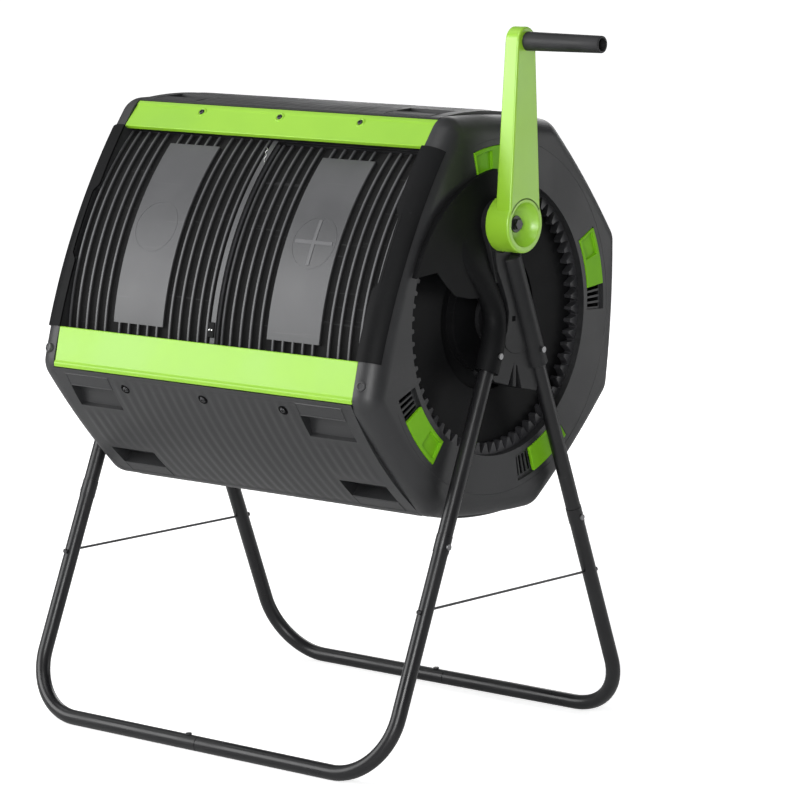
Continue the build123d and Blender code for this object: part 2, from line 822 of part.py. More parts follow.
# Stand tubes
leg_way = (0, -math.sin(lean), math.cos(lean))
corner = (leg_plane, base_half_depth, tube_radius)


# A point on the rear right leg line at a height
def on_leg(height):
    return along(corner, leg_way, (height - tube_radius) / math.cos(lean))


leg_clear = tube_radius * (1 + math.sin(lean)) / math.sin(lean)
leg_top = legs_meet - leg_clear * math.cos(lean) - 2.0
leg_joint = on_leg(leg_joint_height)
joint_screw = along(along(leg_joint, leg_way, -18.0), (1, 0, 0), tube_radius + 0.05)
middle = (0, base_half_depth, tube_radius)


def lower_tube():
    path = FilletPolyline(middle, corner, leg_joint, radius=base_bend_radius)
    section = Plane(origin=path @ 0, z_dir=path % 0) * (Circle(tube_radius) - Circle(tube_bore))
    tube = sweep(section, path=path)
    brace_spot = on_leg(brace_height)
    near = along(brace_spot, (0, -1, 0), tube_diameter)
    far = along(brace_spot, (0, 1, 0), tube_diameter)
    tube -= rod(near, far, brace_diameter / 2 + screw_gap)
    return tube - screw_hole(joint_screw, (1, 0, 0), 8.0)


def base_spigot():
    inner = spigot_radius - tube_wall
    root = (7.0, base_half_depth, tube_radius)
    plug = rod((0.2, base_half_depth, tube_radius), root, tube_bore + 0.4, inner)
    return plug + rod((-joint_overlap, base_half_depth, tube_radius), root, spigot_radius, inner)


base_screw = (-22.0, base_half_depth, 2 * tube_radius + 0.05)
right_tube = lower_tube()
left_tube = mirror(right_tube, Plane.YZ) - screw_hole(base_screw, (0, 0, 1), 8.0)
right_tube = right_tube + base_spigot() - screw_hole(base_screw, (0, 0, 1), 8.0)
left_tube -= rod((-1, base_half_depth, tube_radius), (0.1, base_half_depth, tube_radius), 2 * tube_radius)
save("rear_base_right", right_tube)
save("rear_base_left", left_tube)
save("front_base_right", mirror(right_tube, Plane.XZ))
save("front_base_left", mirror(left_tube, Plane.XZ))


def upper_leg():
    inner = spigot_radius - tube_wall
    start = along(leg_joint, leg_way, 0.2)
    leg = rod(start, on_leg(leg_top), tube_radius, tube_bore)
    leg += rod(start, along(start, leg_way, 7.0), tube_bore + 0.4, inner)
    leg += rod(along(leg_joint, leg_way, -joint_overlap), along(start, leg_way, 7.0), spigot_radius, inner)
    return leg - screw_hole(joint_screw, (1, 0, 0), 8.0) - screw_hole(sleeve_screw, (1, 0, 0), 12.0)


sleeve_low = axis_height - sleeve_drop
sleeve_screw = along(on_leg(sleeve_low + 26.0), (1, 0, 0), sleeve_radius + 0.05)
leg = upper_leg()
save("leg_rear_right", leg)
save("leg_rear_left", mirror(leg, Plane.YZ))
save("leg_front_right", mirror(leg, Plane.XZ))
save("leg_front_left", mirror(mirror(leg, Plane.XZ), Plane.YZ))

# Brace rods through the legs, headed at both ends
brace_reach = on_leg(brace_height)[1] + tube_radius / math.cos(lean) + brace_diameter
brace_end = (leg_plane, brace_reach, brace_height)
brace = rod((leg_plane, -brace_reach, brace_height), brace_end, brace_diameter / 2)
for end in (-brace_reach, brace_reach):
    brace += rod((leg_plane, end - 1.5, brace_height), (leg_plane, end + 1.5, brace_height), brace_diameter)
save("brace_right", brace)
save("brace_left", mirror(brace, Plane.YZ))


# Hub brackets: two leg sleeves, a web, the axle boss, and on the crank side an arm for the crank bush
def both_sides(shape):
    return shape + mirror(shape, Plane.XZ)


bush_radius = shaft_radius + run_gap + 3.0
web_low = axis_height - web_drop


def bracket(with_crank):
    top = legs_meet + 4.0
    body = both_sides(rod(on_leg(sleeve_low), on_leg(top), sleeve_radius))
    web_side = on_leg(web_low)[1]
    web = [(-sleeve_radius, top), (sleeve_radius, top), (web_side, web_low), (-web_side, web_low)]
    web_start = leg_plane - web_back
    body += slab(web, web_start, bracket_face)
    body += axis_place * lathe(box_points(thrust_face, bracket_face, 0, bracket_hub_radius))
    if with_crank:
        arm = [
            (crank_offset - bracket_arm_half, crank_height),
            (crank_offset + bracket_arm_half, crank_height),
            (1.5 * sleeve_radius, legs_meet),
            (sleeve_radius, axis_height),
            (-sleeve_radius, axis_height),
        ]
        body += slab(arm, arm_start, arm_stop)
        body += crank_place * lathe(box_points(arm_start, arm_stop, 0, bracket_arm_half))
        body -= crank_place * lathe(box_points(arm_start - 1, arm_stop + 1, 0, bush_radius + tube_gap))
    bore_low = along(on_leg(web_low), leg_way, -2 * tube_diameter)
    bore = rod(bore_low, along(on_leg(leg_top), leg_way, 0.5), tube_radius + tube_gap)
    body -= both_sides(bore)
    body -= axis_place * lathe(box_points(thrust_face - 1, axle_stop, 0, axle_radius + tube_gap))
    window = axle_window / 2
    body -= axis_place * slab(box_points(-window, window, -window, window), axle_stop - 1, bracket_face + 1)
    hole = screw_hole(sleeve_screw, (1, 0, 0), 12.0)
    return body - both_sides(hole)


save("hub_bracket_right", bracket(True))
save("hub_bracket_left", mirror(bracket(False), Plane.YZ))
bush = lathe([
    (arm_start, shaft_radius + run_gap),
    (arm_start, bush_radius),
    (arm_stop + 0.1, bush_radius),
    (arm_stop + 0.1, bush_radius + 5.0),
    (bush_face, bush_radius + 5.0),
    (bush_face, shaft_radius + run_gap),
])
save("crank_bush", crank_place * bush)

# Gear guard: a shallow tray over the front of the gear, fixed to the bracket arm, with a hooked lower edge
guard_radius = ring_outer + guard_reach
guard_first = math.radians(96.0)
guard_last = math.radians(160.0)


def guard_point(radius, angle):
    return (radius * math.cos(angle), radius * math.sin(angle))


def guard_arc(radius, first, last):
    return ThreePointArc(*[guard_point(radius, first + (last - first) * share) for share in (0, 0.5, 1)])


guard_inner = guard_radius - guard_thickness
guard_hook = [(-0.73, 0.36), (-0.63, 0.263), (-0.535, 0.19), (-0.387, 0.16)]
guard_edge = [guard_point(guard_radius, guard_last)]
guard_edge += [(guard_radius * y, guard_radius * z) for y, z in guard_hook]
for share in (0.15, 0.3):
    rise = guard_radius * share
    sleeve_edge = on_leg(axis_height + rise)[1] + (sleeve_radius + 2 * fit_gap) / math.cos(lean)
    guard_edge.append((-sleeve_edge, rise))
guard_edge += [guard_point(guard_radius, guard_first)]
guard_face = make_face([guard_arc(guard_radius, guard_first, guard_last), Polyline(*guard_edge)])
guard_wall = make_face([
    guard_arc(guard_radius, guard_first, guard_last),
    Line(guard_point(guard_radius, guard_last), guard_point(guard_inner, guard_last)),
    guard_arc(guard_inner, guard_last, guard_first),
    Line(guard_point(guard_inner, guard_first), guard_point(guard_radius, guard_first)),
])
guard = prism(guard_face, guard_stop - guard_thickness, guard_stop)
guard = axis_place * (guard + prism(guard_wall, guard_start, guard_stop))
guard -= crank_place * lathe(box_points(guard_start - 1, guard_stop + 1, 0, shaft_radius + 2.0))
save("gear_guard", guard)

# Screws of the stand
def four_corners(shape):
    sides = [shape, mirror(shape, Plane.XZ)]
    return sides + [mirror(side, Plane.YZ) for side in sides]


several("leg_screws", four_corners(screw(joint_screw, (1, 0, 0), 6.0)))
several("bracket_screws", four_corners(screw(sleeve_screw, (1, 0, 0), 9.0)))
foot_screw = screw(base_screw, (0, 0, 1), 6.0)
several("base_screws", [foot_screw, mirror(foot_screw, Plane.XZ)])
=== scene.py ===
import json
from math import asin, atan2, cos, degrees, hypot, pi, radians, sin, sqrt

import bmesh
import bpy
from mathutils import Matrix, Vector


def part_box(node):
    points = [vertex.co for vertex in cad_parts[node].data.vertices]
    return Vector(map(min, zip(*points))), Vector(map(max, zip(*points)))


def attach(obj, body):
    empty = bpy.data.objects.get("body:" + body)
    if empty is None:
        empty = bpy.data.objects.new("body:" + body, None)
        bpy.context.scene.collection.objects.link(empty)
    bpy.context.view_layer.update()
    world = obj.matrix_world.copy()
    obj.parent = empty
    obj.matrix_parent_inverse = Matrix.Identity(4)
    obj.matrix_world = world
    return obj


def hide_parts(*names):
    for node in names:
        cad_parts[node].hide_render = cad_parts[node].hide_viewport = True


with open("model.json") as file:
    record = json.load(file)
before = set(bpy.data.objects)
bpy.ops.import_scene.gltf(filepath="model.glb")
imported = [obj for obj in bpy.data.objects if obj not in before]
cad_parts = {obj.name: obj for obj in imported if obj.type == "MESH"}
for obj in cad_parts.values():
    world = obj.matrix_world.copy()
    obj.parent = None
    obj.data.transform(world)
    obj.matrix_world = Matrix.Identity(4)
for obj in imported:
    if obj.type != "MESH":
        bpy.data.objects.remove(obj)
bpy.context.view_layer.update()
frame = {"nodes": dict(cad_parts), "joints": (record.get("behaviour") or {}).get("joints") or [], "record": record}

# lengths are metres, angles degrees; the drum's own frame has its axis on X and the door normal at doorAngle
joints = {joint["name"]: joint for joint in frame["joints"]}
slotOf = {part["node"]: part["material_slot"] for part in frame["record"]["subparts"]}
bodyOf = {node: body for body, nodes in frame["record"]["behaviour"]["bodies"].items() for node in nodes}
axisZ = joints["drum_spin"]["pos_m"][2]
crankAt = Vector(joints["crank_spin"]["pos_m"])
gripAt = Vector(joints["grip_spin"]["pos_m"])
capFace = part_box("end_cap_right")[1].x
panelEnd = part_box("top_panel")[1].x
legX = sum(corner.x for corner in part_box("leg_front_right")) / 2

drumSet = {"turn": -3.5, "doorAngle": 157.5, "doorShift": 0.007, "doorCrest": 0.2715, "doorBulge": 0.5,
           "faceBulge": 1.09, "capDoorRadius": 1.0905, "doorHalf": 0.18105}


# several of a piece's settings at once
def pick(settings, names):
    return (settings[name] for name in names.split())


def turnX(turn):
    return Matrix.Rotation(radians(turn), 4, "X")


def shift(x, y, z):
    return Matrix.Translation((x, y, z))


# puts work made along one axis at a spot, along another way
def aim(spot, way, made=(1, 0, 0)):
    return Matrix.Translation(spot) @ Vector(made).rotation_difference(Vector(way)).to_matrix().to_4x4()


drumPlace = shift(0, 0, axisZ) @ turnX(drumSet["turn"])
doorTurn = drumPlace @ turnX(drumSet["doorAngle"] - 90)
doorPlace = doorTurn @ shift(0, drumSet["doorShift"], drumSet["doorCrest"] - drumSet["doorBulge"])
facePlace = doorTurn @ shift(0, drumSet["doorShift"], drumSet["doorCrest"] - drumSet["faceBulge"])
mirrorX = Matrix.Diagonal((-1, 1, 1, 1))
mirrorY = Matrix.Diagonal((1, -1, 1, 1))
sides = (("right", Matrix()), ("left", mirrorX))
along, upright = Vector((1, 0, 0)), Vector((0, 0, 1))
drumMiddle = Vector((0, 0, axisZ))
print("frame loaded", len(frame["nodes"]), "nodes")


# node helpers: a plain value is set on a socket, another node's output is linked to it
def feed(tree, socket, value):
    if isinstance(value, bpy.types.NodeSocket):
        tree.links.new(value, socket)
    else:
        socket.default_value = value


def addNode(tree, kind, *terms, **values):
    node = tree.nodes.new("ShaderNode" + kind)
    for key, value in values.items():
        if key in node.inputs:
            feed(tree, node.inputs[key], value)
        else:
            setattr(node, key, value)
    for socket, value in zip(node.inputs, terms):
        feed(tree, socket, value)
    return node


def mathNode(tree, operation, first, second, clamp=False):
    return addNode(tree, "Math", first, second, operation=operation, use_clamp=clamp).outputs[0]


def rangeNode(tree, source, low, high, toLow=0.0, toHigh=1.0, curve="SMOOTHSTEP"):
    node = addNode(tree, "MapRange", source, low, high, toLow, toHigh, interpolation_type=curve)
    return node.outputs["Result"]


def noiseNode(tree, spot, scale, detail, rough):
    return addNode(tree, "TexNoise", Vector=spot, Scale=scale, Detail=detail, Roughness=rough).outputs["Fac"]


def lengthNode(tree, vector):
    return addNode(tree, "VectorMath", vector, operation="LENGTH").outputs["Value"]


def mixColour(tree, factor, *colours):
    node = addNode(tree, "Mix", data_type="RGBA", Factor=factor)
    for socket, colour in zip(node.inputs[6:8], colours):
        feed(tree, socket, colour if isinstance(colour, bpy.types.NodeSocket) else (*colour, 1))
    return node.outputs[2]


def startGroup(name, inputs, outputs):
    group = bpy.data.node_groups.new(name, "ShaderNodeTree")
    for title, value in inputs.items():
        socket = group.interface.new_socket(title, in_out="INPUT", socket_type="NodeSocketFloat")
        socket.default_value = value
    for title in outputs:
        group.interface.new_socket(title, in_out="OUTPUT", socket_type="NodeSocketFloat")
    return group, group.nodes.new("NodeGroupInput").outputs, group.nodes.new("NodeGroupOutput").inputs


def startMaterial(name):
    material = bpy.data.materials.new(name)
    material.use_nodes = True
    material.node_tree.nodes.clear()
    return material, material.node_tree


# moulded grain: a fine spark-eroded skin for bump, and a broad cloudiness for tint
grainSet = {"fine": (4.0, 0.6), "broad": (3.0, 0.55), "cloud": (0.32, 0.68)}


def makeGrainGroup():
    group, start, end = startGroup("mouldedGrain", {"Fine": 900.0, "Broad": 7.0}, ["Height", "Cloud"])
    spot = addNode(group, "TexCoord").outputs["Object"]
    broad = noiseNode(group, spot, start["Broad"], *grainSet["broad"])
    feed(group, end["Height"], noiseNode(group, spot, start["Fine"], *grainSet["fine"]))
    feed(group, end["Cloud"], rangeNode(group, broad, *grainSet["cloud"]))
    return group


# handling wear: dust on what faces up, and short rubbed streaks along the drum
wearSet = {"facing": (0.15, 0.95), "patch": (11.0, 5.0, 0.62), "patchy": (0.4, 0.72),
           "stretch": (6.0, 160.0, 160.0), "streak": (1.0, 3.0, 0.65), "thin": (0.62, 0.72)}


def makeWearGroup():
    group, start, end = startGroup("handlingWear", {"Streaks": 0.5}, ["Dust", "Rub"])
    coord = addNode(group, "TexCoord").outputs
    facing = addNode(group, "SeparateXYZ", coord["Normal"]).outputs["Z"]
    patch = noiseNode(group, coord["Object"], *wearSet["patch"])
    dusty = rangeNode(group, facing, *wearSet["facing"]), rangeNode(group, patch, *wearSet["patchy"])
    feed(group, end["Dust"], mathNode(group, "MULTIPLY", *dusty))
    stretch = addNode(group, "Mapping", Vector=coord["Object"], Scale=wearSet["stretch"]).outputs["Vector"]
    streak = rangeNode(group, noiseNode(group, stretch, *wearSet["streak"]), *wearSet["thin"])
    feed(group, end["Rub"], mathNode(group, "MULTIPLY", streak, start["Streaks"]))
    return group


grainGroup = makeGrainGroup()
wearGroup = makeWearGroup()

# doors: where ribs, stiles, pad and stubs run along the leaf, and how high each leaf's crest is
doorSet = {
    "inner": -0.006, "outer": 0.322, "depth": 0.007, "wall": 0.0009, "rib": 0.0036, "draft": 0.0004,
    "innerRibs": (0.013, 0.0315, 0.0525, 0.0735, 0.0945), "outerRibs": (0.239, 0.260, 0.2815, 0.303),
    "stile": (-0.006, 0.004), "endRib": (0.3188, 0.322), "pad": (0.1095, 0.2195),
    "stubs": (0.1225, 0.1435, 0.1645, 0.1855, 0.2065), "padHalf": 0.1595, "ribHalf": 0.1795, "leafHalf": 0.1886,
    "padSteps": 36, "edgeSteps": 3, "leftCrest": 0.5, "rightCrest": 0.4912, "crestEdge": 0.0008,
    "soft": (0.0005, 45),
}


# 1 on the crests of a door's ribs, 0 on the floor between them, from the radius about the bulge axis; it places the
# painted shade between the ribs
def gapShadeMask(tree, crest):
    spot = addNode(tree, "TexCoord").outputs["Object"]
    place = addNode(tree, "Mapping", vector_type="TEXTURE", Vector=spot, Location=doorPlace.to_translation(),
                    Rotation=doorPlace.to_euler())
    flat = addNode(tree, "VectorMath", place.outputs["Vector"], (0, 1, 1), operation="MULTIPLY")
    reach = lengthNode(tree, flat.outputs["Vector"])
    return rangeNode(tree, reach, crest - doorSet["depth"] * 0.5, crest - doorSet["crestEdge"])


# a moulded or painted finish: two close colours clouded together, dust, rubs, uneven gloss and a fine skin; on the
# doors, painted shade darkens the floor between the ribs
finishSet = {"gapShadeCloud": 1.4, "dustDull": 0.18, "deepDull": 0.5}


def makeFinish(name, look, crest=None):
    material, tree = startMaterial(name)
    grain = addNode(tree, "Group", node_tree=grainGroup, Fine=look["fine"], Broad=look["broad"]).outputs
    wear = addNode(tree, "Group", node_tree=wearGroup).outputs
    colour = mixColour(tree, grain["Cloud"], look["dark"], look["light"])
    gloss = rangeNode(tree, grain["Cloud"], 0.0, 1.0, *look["rough"], curve="LINEAR")
    dusty = mathNode(tree, "MULTIPLY", wear["Dust"], finishSet["dustDull"])
    gloss = mathNode(tree, "ADD", gloss, dusty, clamp=True)
    # painted shade: the floor between a door's ribs takes the near-black deep colour, clouded, and is made duller
    if crest:
        mask = gapShadeMask(tree, crest)
        palerGapShade = [part * finishSet["gapShadeCloud"] for part in look["deep"]]
        colour = mixColour(tree, mask, mixColour(tree, grain["Cloud"], look["deep"], palerGapShade), colour)
        between = mathNode(tree, "SUBTRACT", 1.0, mask)
        between = mathNode(tree, "MULTIPLY", between, finishSet["deepDull"])
        gloss = mathNode(tree, "ADD", gloss, between, clamp=True)
    for kind in ("rub", "dust"):
        amount = mathNode(tree, "MULTIPLY", wear[kind.capitalize()], look[kind])
        colour = mixColour(tree, amount, colour, look[kind + "Colour"])
    bump = addNode(tree, "Bump", Strength=look["bump"], Distance=look["skin"], Height=grain["Height"])
    shader = addNode(tree, "BsdfPrincipled", Metallic=look["metal"], Roughness=gloss, Normal=bump.outputs["Normal"])
    shader.inputs["Specular IOR Level"].default_value = look["specular"]
    feed(tree, shader.inputs["Base Color"], colour)
    addNode(tree, "OutputMaterial", Surface=shader.outputs["BSDF"])
    return material


plainLook = {"fine": 1300.0, "broad": 8.0, "bump": 0.1, "skin": 0.0003, "rub": 0.2, "dust": 0.05,
             "specular": 0.5, "metal": 0.0}
skinLook = {**plainLook, "bump": 0.2, "skin": 0.0004, "rough": (0.42, 0.52)}
doorLook = {**plainLook, "fine": 1600.0, "broad": 9.0, "rough": (0.4, 0.48), "bump": 0.14, "dust": 0.06}
limeLook = {**plainLook, "fine": 1100.0, "rub": 0.12, "dustColour": (0.5, 0.62, 0.25)}
metalLook = {**plainLook, "fine": 900.0, "broad": 60.0, "skin": 0.0002, "rub": 0.3, "metal": 0.9}
looks = {
    "shell": {
        **skinLook, "dark": (0.016, 0.0162, 0.0172), "light": (0.023, 0.0234, 0.0248), "fine": 1500.0, "broad": 6.0,
        "rub": 0.18, "rubColour": (0.075, 0.075, 0.078), "dust": 0.1, "dustColour": (0.12, 0.117, 0.11),
    },
    "frame": {
        **skinLook, "dark": (0.009, 0.0092, 0.01), "light": (0.014, 0.0142, 0.0152),
        "rubColour": (0.06, 0.06, 0.063), "dust": 0.08, "dustColour": (0.1, 0.1, 0.095), "specular": 0.3,
    },
    # a darker copy of the black plastic that stands in for shade: painted shade on the cheeks, hub plates, gear guard
    # and bracket flanks; the stile latch uses it too
    "shadeBlack": {
        **skinLook, "dark": (0.0045, 0.0046, 0.005), "light": (0.007, 0.0072, 0.0078), "rough": (0.5, 0.6),
        "rubColour": (0.05, 0.05, 0.053), "dust": 0.06, "dustColour": (0.06, 0.06, 0.057), "specular": 0.1,
    },
    # near black: painted shade in hollows, used for the panel screw cups and the axle socket
    "pitShade": {
        **plainLook, "dark": (0.0015, 0.0015, 0.0017), "light": (0.0025, 0.0025, 0.0027), "rough": (0.6, 0.7),
        "rub": 0.1, "rubColour": (0.01, 0.01, 0.01), "dust": 0.03, "dustColour": (0.02, 0.02, 0.02),
        "specular": 0.05,
    },
    "door": {
        **doorLook, "dark": (0.058, 0.0585, 0.0615), "light": (0.071, 0.0715, 0.0755),
        # deep: the near-black colour of the painted shade between the door's ribs
        "deep": (0.0012, 0.0012, 0.0014), "rub": 0.25, "rubColour": (0.15, 0.15, 0.155),
        "dustColour": (0.17, 0.17, 0.165), "specular": 0.48,
    },
    # a lighter copy of the door plastic for the plus: painted highlight on the raised mark
    "markHighlight": {
        **doorLook, "dark": (0.12, 0.1205, 0.125), "light": (0.14, 0.1405, 0.146), "rubColour": (0.18, 0.18, 0.185),
        "dustColour": (0.2, 0.2, 0.195), "specular": 0.25,
    },
    "lime": {
        **limeLook, "dark": (0.235, 0.50, 0.016), "light": (0.275, 0.55, 0.026), "broad": 5.0,
        "rough": (0.36, 0.46), "rubColour": (0.4, 0.7, 0.1), "specular": 0.6,
    },
    # a lighter copy of the lime for the crank lever: painted light on the same plastic
    "crank": {
        **limeLook, "dark": (0.275, 0.56, 0.024), "light": (0.315, 0.61, 0.036), "broad": 7.0, "rough": (0.3, 0.4),
        "rubColour": (0.45, 0.72, 0.14), "specular": 0.9,
    },
    # a darker, more saturated, less glossy copy of the lime for the vent sliders; the darker colour is painted shade
    "vent": {
        **limeLook, "dark": (0.155, 0.42, 0.006), "light": (0.185, 0.47, 0.01), "broad": 9.0, "rough": (0.45, 0.55),
        "bump": 0.12, "rubColour": (0.3, 0.6, 0.06), "dustColour": (0.4, 0.52, 0.2), "specular": 0.18,
    },
    "gear": {
        **plainLook, "dark": (0.02, 0.02, 0.022), "light": (0.03, 0.03, 0.033), "fine": 1200.0, "broad": 12.0,
        "rough": (0.4, 0.52), "bump": 0.15, "rub": 0.25, "rubColour": (0.08, 0.08, 0.08), "dust": 0.06,
        "dustColour": (0.1, 0.1, 0.095),
    },
    "bush": {
        **plainLook, "dark": (0.05, 0.05, 0.051), "light": (0.075, 0.075, 0.077), "fine": 1400.0, "broad": 30.0,
        "rough": (0.3, 0.42), "bump": 0.08, "skin": 0.0002, "rubColour": (0.14, 0.14, 0.14),
        "dustColour": (0.16, 0.16, 0.16),
    },
    "grip": {
        **plainLook, "dark": (0.014, 0.014, 0.015), "light": (0.021, 0.021, 0.023), "fine": 1700.0, "broad": 24.0,
        "rough": (0.4, 0.5), "bump": 0.2, "rub": 0.25, "rubColour": (0.06, 0.06, 0.06), "dust": 0.06,
        "dustColour": (0.1, 0.1, 0.095), "specular": 0.36,
    },
    "tube": {
        **plainLook, "dark": (0.009, 0.009, 0.01), "light": (0.014, 0.014, 0.015), "fine": 420.0, "broad": 10.0,
        "rough": (0.26, 0.36), "rub": 0.3, "rubColour": (0.04, 0.04, 0.04), "dustColour": (0.09, 0.09, 0.085),
        "specular": 0.36,
    },
    "steel": {
        **metalLook, "dark": (0.055, 0.055, 0.058), "light": (0.09, 0.09, 0.092), "rough": (0.3, 0.45), "rub": 0.4,
        "rubColour": (0.3, 0.3, 0.3), "dustColour": (0.2, 0.19, 0.18),
    },
    "plated": {
        **metalLook, "dark": (0.2, 0.2, 0.205), "light": (0.28, 0.28, 0.285), "rough": (0.3, 0.42),
        "rubColour": (0.45, 0.45, 0.45), "dustColour": (0.25, 0.24, 0.23),
    },
    "zinc": {
        **metalLook, "dark": (0.6, 0.6, 0.6), "light": (0.72, 0.72, 0.71), "broad": 90.0, "rough": (0.22, 0.36),
        "bump": 0.08, "rubColour": (0.8, 0.8, 0.8), "dustColour": (0.4, 0.4, 0.38), "metal": 1.0,
    },
}
finish = {key: makeFinish(key + "Finish", look) for key, look in looks.items() if key != "door"}
for side in ("Left", "Right"):
    finish["door" + side] = makeFinish("door" + side + "Finish", looks["door"], doorSet[side.lower() + "Crest"])
slotFinish = {
    "shell_plastic": "shell", "frame_plastic": "frame", "door_plastic": "doorLeft", "lime_plastic": "lime",
    "gear_plastic": "gear", "bush_plastic": "bush", "grip_plastic": "grip", "black_tube": "tube",
    "black_steel": "steel",
}
brightNodes = ("bracket_screws", "leg_screws")
for node, slotName in slotOf.items():
    materials = frame["nodes"][node].data.materials
    materials.clear()
    materials.append(finish["plated" if node in brightNodes else slotFinish[slotName]])
print("finishes made", len(finish))


# mesh helpers
def chain(bm, points):
    verts = [bm.verts.new(point) for point in points]
    return verts + [bm.edges.new(pair) for pair in zip(verts, verts[1:])]


def edgesIn(geom):
    return [item for item in geom if isinstance(item, bmesh.types.BMEdge)]


def vertsIn(geom):
    return [item for item in geom if isinstance(item, bmesh.types.BMVert)]


def vertsOf(edges):
    return list(dict.fromkeys(vert for edge in edges for vert in edge.verts))


def openEdges(bm):
    return [edge for edge in bm.edges if len(edge.link_faces) == 1]


def facesWhere(bm, test):
    return [face for face in bm.faces if test(face.calc_center_median())]


def ringEdges(bm, radius, segments, place=Matrix()):
    made = bmesh.ops.create_circle(bm, cap_ends=False, radius=radius, segments=segments, matrix=place)
    return list(dict.fromkeys(edge for vert in made["verts"] for edge in vert.link_edges))


# pulls a new edge out of each edge, and gives the new verts and the edges between them
def pullEdges(bm, edges):
    made = bmesh.ops.extrude_edge_only(bm, edges=edges)["geom"]
    verts = vertsIn(made)
    fresh = set(verts)
    return verts, [edge for edge in edgesIn(made) if fresh.issuperset(edge.verts)]


def spin(bm, geom, turn, steps, centre=(0, 0, 0), axis=(1, 0, 0)):
    made = bmesh.ops.spin(bm, geom=geom, cent=centre, axis=axis, dvec=(0, 0, 0), angle=radians(turn),
                          steps=steps, use_merge=abs(turn) >= 360, use_normal_flip=False, use_duplicate=False)
    return made["geom_last"]


def move(bm, verts, x, y, z):
    bmesh.ops.translate(bm, verts=verts, vec=(x, y, z))


# an (x, radius) outline turned about the X axis
def lathe(profile, steps):
    bm = bmesh.new()
    spin(bm, chain(bm, [(x, 0, radius) for x, radius in profile]), 360, steps)
    bmesh.ops.remove_doubles(bm, verts=bm.verts, dist=meshSet["sliver"])
    return bm


# a (y, z) outline pushed along X
def prismX(bm, outline, start, stop):
    face = bm.faces.new([bm.verts.new((start, y, z)) for y, z in outline])
    pushed = bmesh.ops.extrude_face_region(bm, geom=[face])
    move(bm, vertsIn(pushed["geom"]), stop - start, 0, 0)


# gives flat work a height
def thicken(bm, height):
    raised = bmesh.ops.extrude_face_region(bm, geom=bm.faces[:], use_keep_orig=True)["geom"]
    move(bm, vertsIn(raised), 0, 0, height)


# pushes a patch of faces inward and takes away the patch that covered the hollow
def sinkFaces(bm, faces):
    sunk = vertsIn(bmesh.ops.extrude_face_region(bm, geom=faces)["geom"])
    bmesh.ops.delete(bm, geom=[face for face in faces if face.is_valid], context="FACES")
    return sunk


def arcPoints(centre, radius, first, last, steps):
    turns = [radians(first + (last - first) * i / steps) for i in range(steps + 1)]
    return [(centre[0] + radius * cos(a), centre[1] + radius * sin(a)) for a in turns]


def bevelEdges(bm, edges, width, segments, clamp=False):
    bmesh.ops.bevel(bm, geom=edges, offset=width, offset_type="OFFSET", segments=segments, profile=0.5,
                    affect="EDGES", clamp_overlap=clamp, material=-1)


def sharpEdges(bm, turn):
    return [edge for edge in bm.edges if len(edge.link_faces) == 2 and edge.calc_face_angle(0) > radians(turn)]


def smoothstep(low, high, value):
    share = min(1.0, max(0.0, (value - low) / (high - low)))
    return share * share * (3 - 2 * share)


def joinMesh(bm, part, place=Matrix()):
    part.transform(place)
    mesh = bpy.data.meshes.new("draft")
    part.to_mesh(mesh)
    part.free()
    bm.from_mesh(mesh)
    bpy.data.meshes.remove(mesh)


def addObject(name, data):
    item = bpy.data.objects.new(name, data)
    bpy.context.scene.collection.objects.link(item)
    return item


def addMesh(name, bm, material):
    mesh = bpy.data.meshes.new(name)
    bm.to_mesh(mesh)
    bm.free()
    mesh.materials.append(material)
    return addObject(name, mesh)


meshSet = {"merge": 4e-6, "sliver": 1e-6, "cadMerge": 3e-6, "cadFlat": 0.5, "cadSharp": 30, "same": 1e-5}


# merges, turns the faces out, marks hard edges, and hands the piece to its body; a piece that stands for a CAD node
# takes that node's body and another is given its body, but the slot looked up or given with it is not applied
def makePiece(name, bm, look, node=None, on=None, place=Matrix(), hard=32, outFrom=None, seal=False, wall=None,
              soft=None, even=False):
    bm.transform(place)
    bmesh.ops.remove_doubles(bm, verts=bm.verts, dist=meshSet["merge"])
    bmesh.ops.dissolve_degenerate(bm, dist=meshSet["sliver"], edges=bm.edges)
    if seal:
        bmesh.ops.holes_fill(bm, edges=openEdges(bm), sides=0)
    bmesh.ops.recalc_face_normals(bm, faces=bm.faces)
    if outFrom is not None:
        lean = sum(f.normal.dot(f.calc_center_median() - outFrom) * f.calc_area() for f in bm.faces)
        if lean < 0:
            bmesh.ops.reverse_faces(bm, faces=bm.faces)
    for face in bm.faces:
        face.smooth = True
    for edge in bm.edges:
        edge.smooth = len(edge.link_faces) == 2 and edge.calc_face_angle(0) < radians(hard)
    piece = addMesh(name, bm, finish[look])
    body, slotName = on or (bodyOf[node], slotOf[node])
    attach(piece, body)
    if node:
        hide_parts(node)
    if wall:
        shell = piece.modifiers.new("wall", "SOLIDIFY")
        shell.thickness = wall
        shell.offset = -1
    if soft:
        addSoftEdge(piece, *soft)
    if even:
        piece.modifiers.new("flatNormals", "WEIGHTED_NORMAL").keep_sharp = True


def addSoftEdge(piece, width, turn, segments=2):
    edge = piece.modifiers.new("softEdge", "BEVEL")
    edge.width = width
    edge.segments = segments
    edge.limit_method = "ANGLE"
    edge.angle_limit = radians(turn)
    edge.profile = 0.5


# a CAD node's mesh, merged, its flats joined and its hard edges eased
def eased(node, width):
    bm = bmesh.new()
    bm.from_mesh(frame["nodes"][node].data)
    bmesh.ops.remove_doubles(bm, verts=bm.verts, dist=meshSet["cadMerge"])
    bmesh.ops.dissolve_limit(bm, angle_limit=radians(meshSet["cadFlat"]), verts=bm.verts, edges=bm.edges,
                             use_dissolve_boundaries=False)
    bevelEdges(bm, sharpEdges(bm, meshSet["cadSharp"]), width, 2)
    return bm


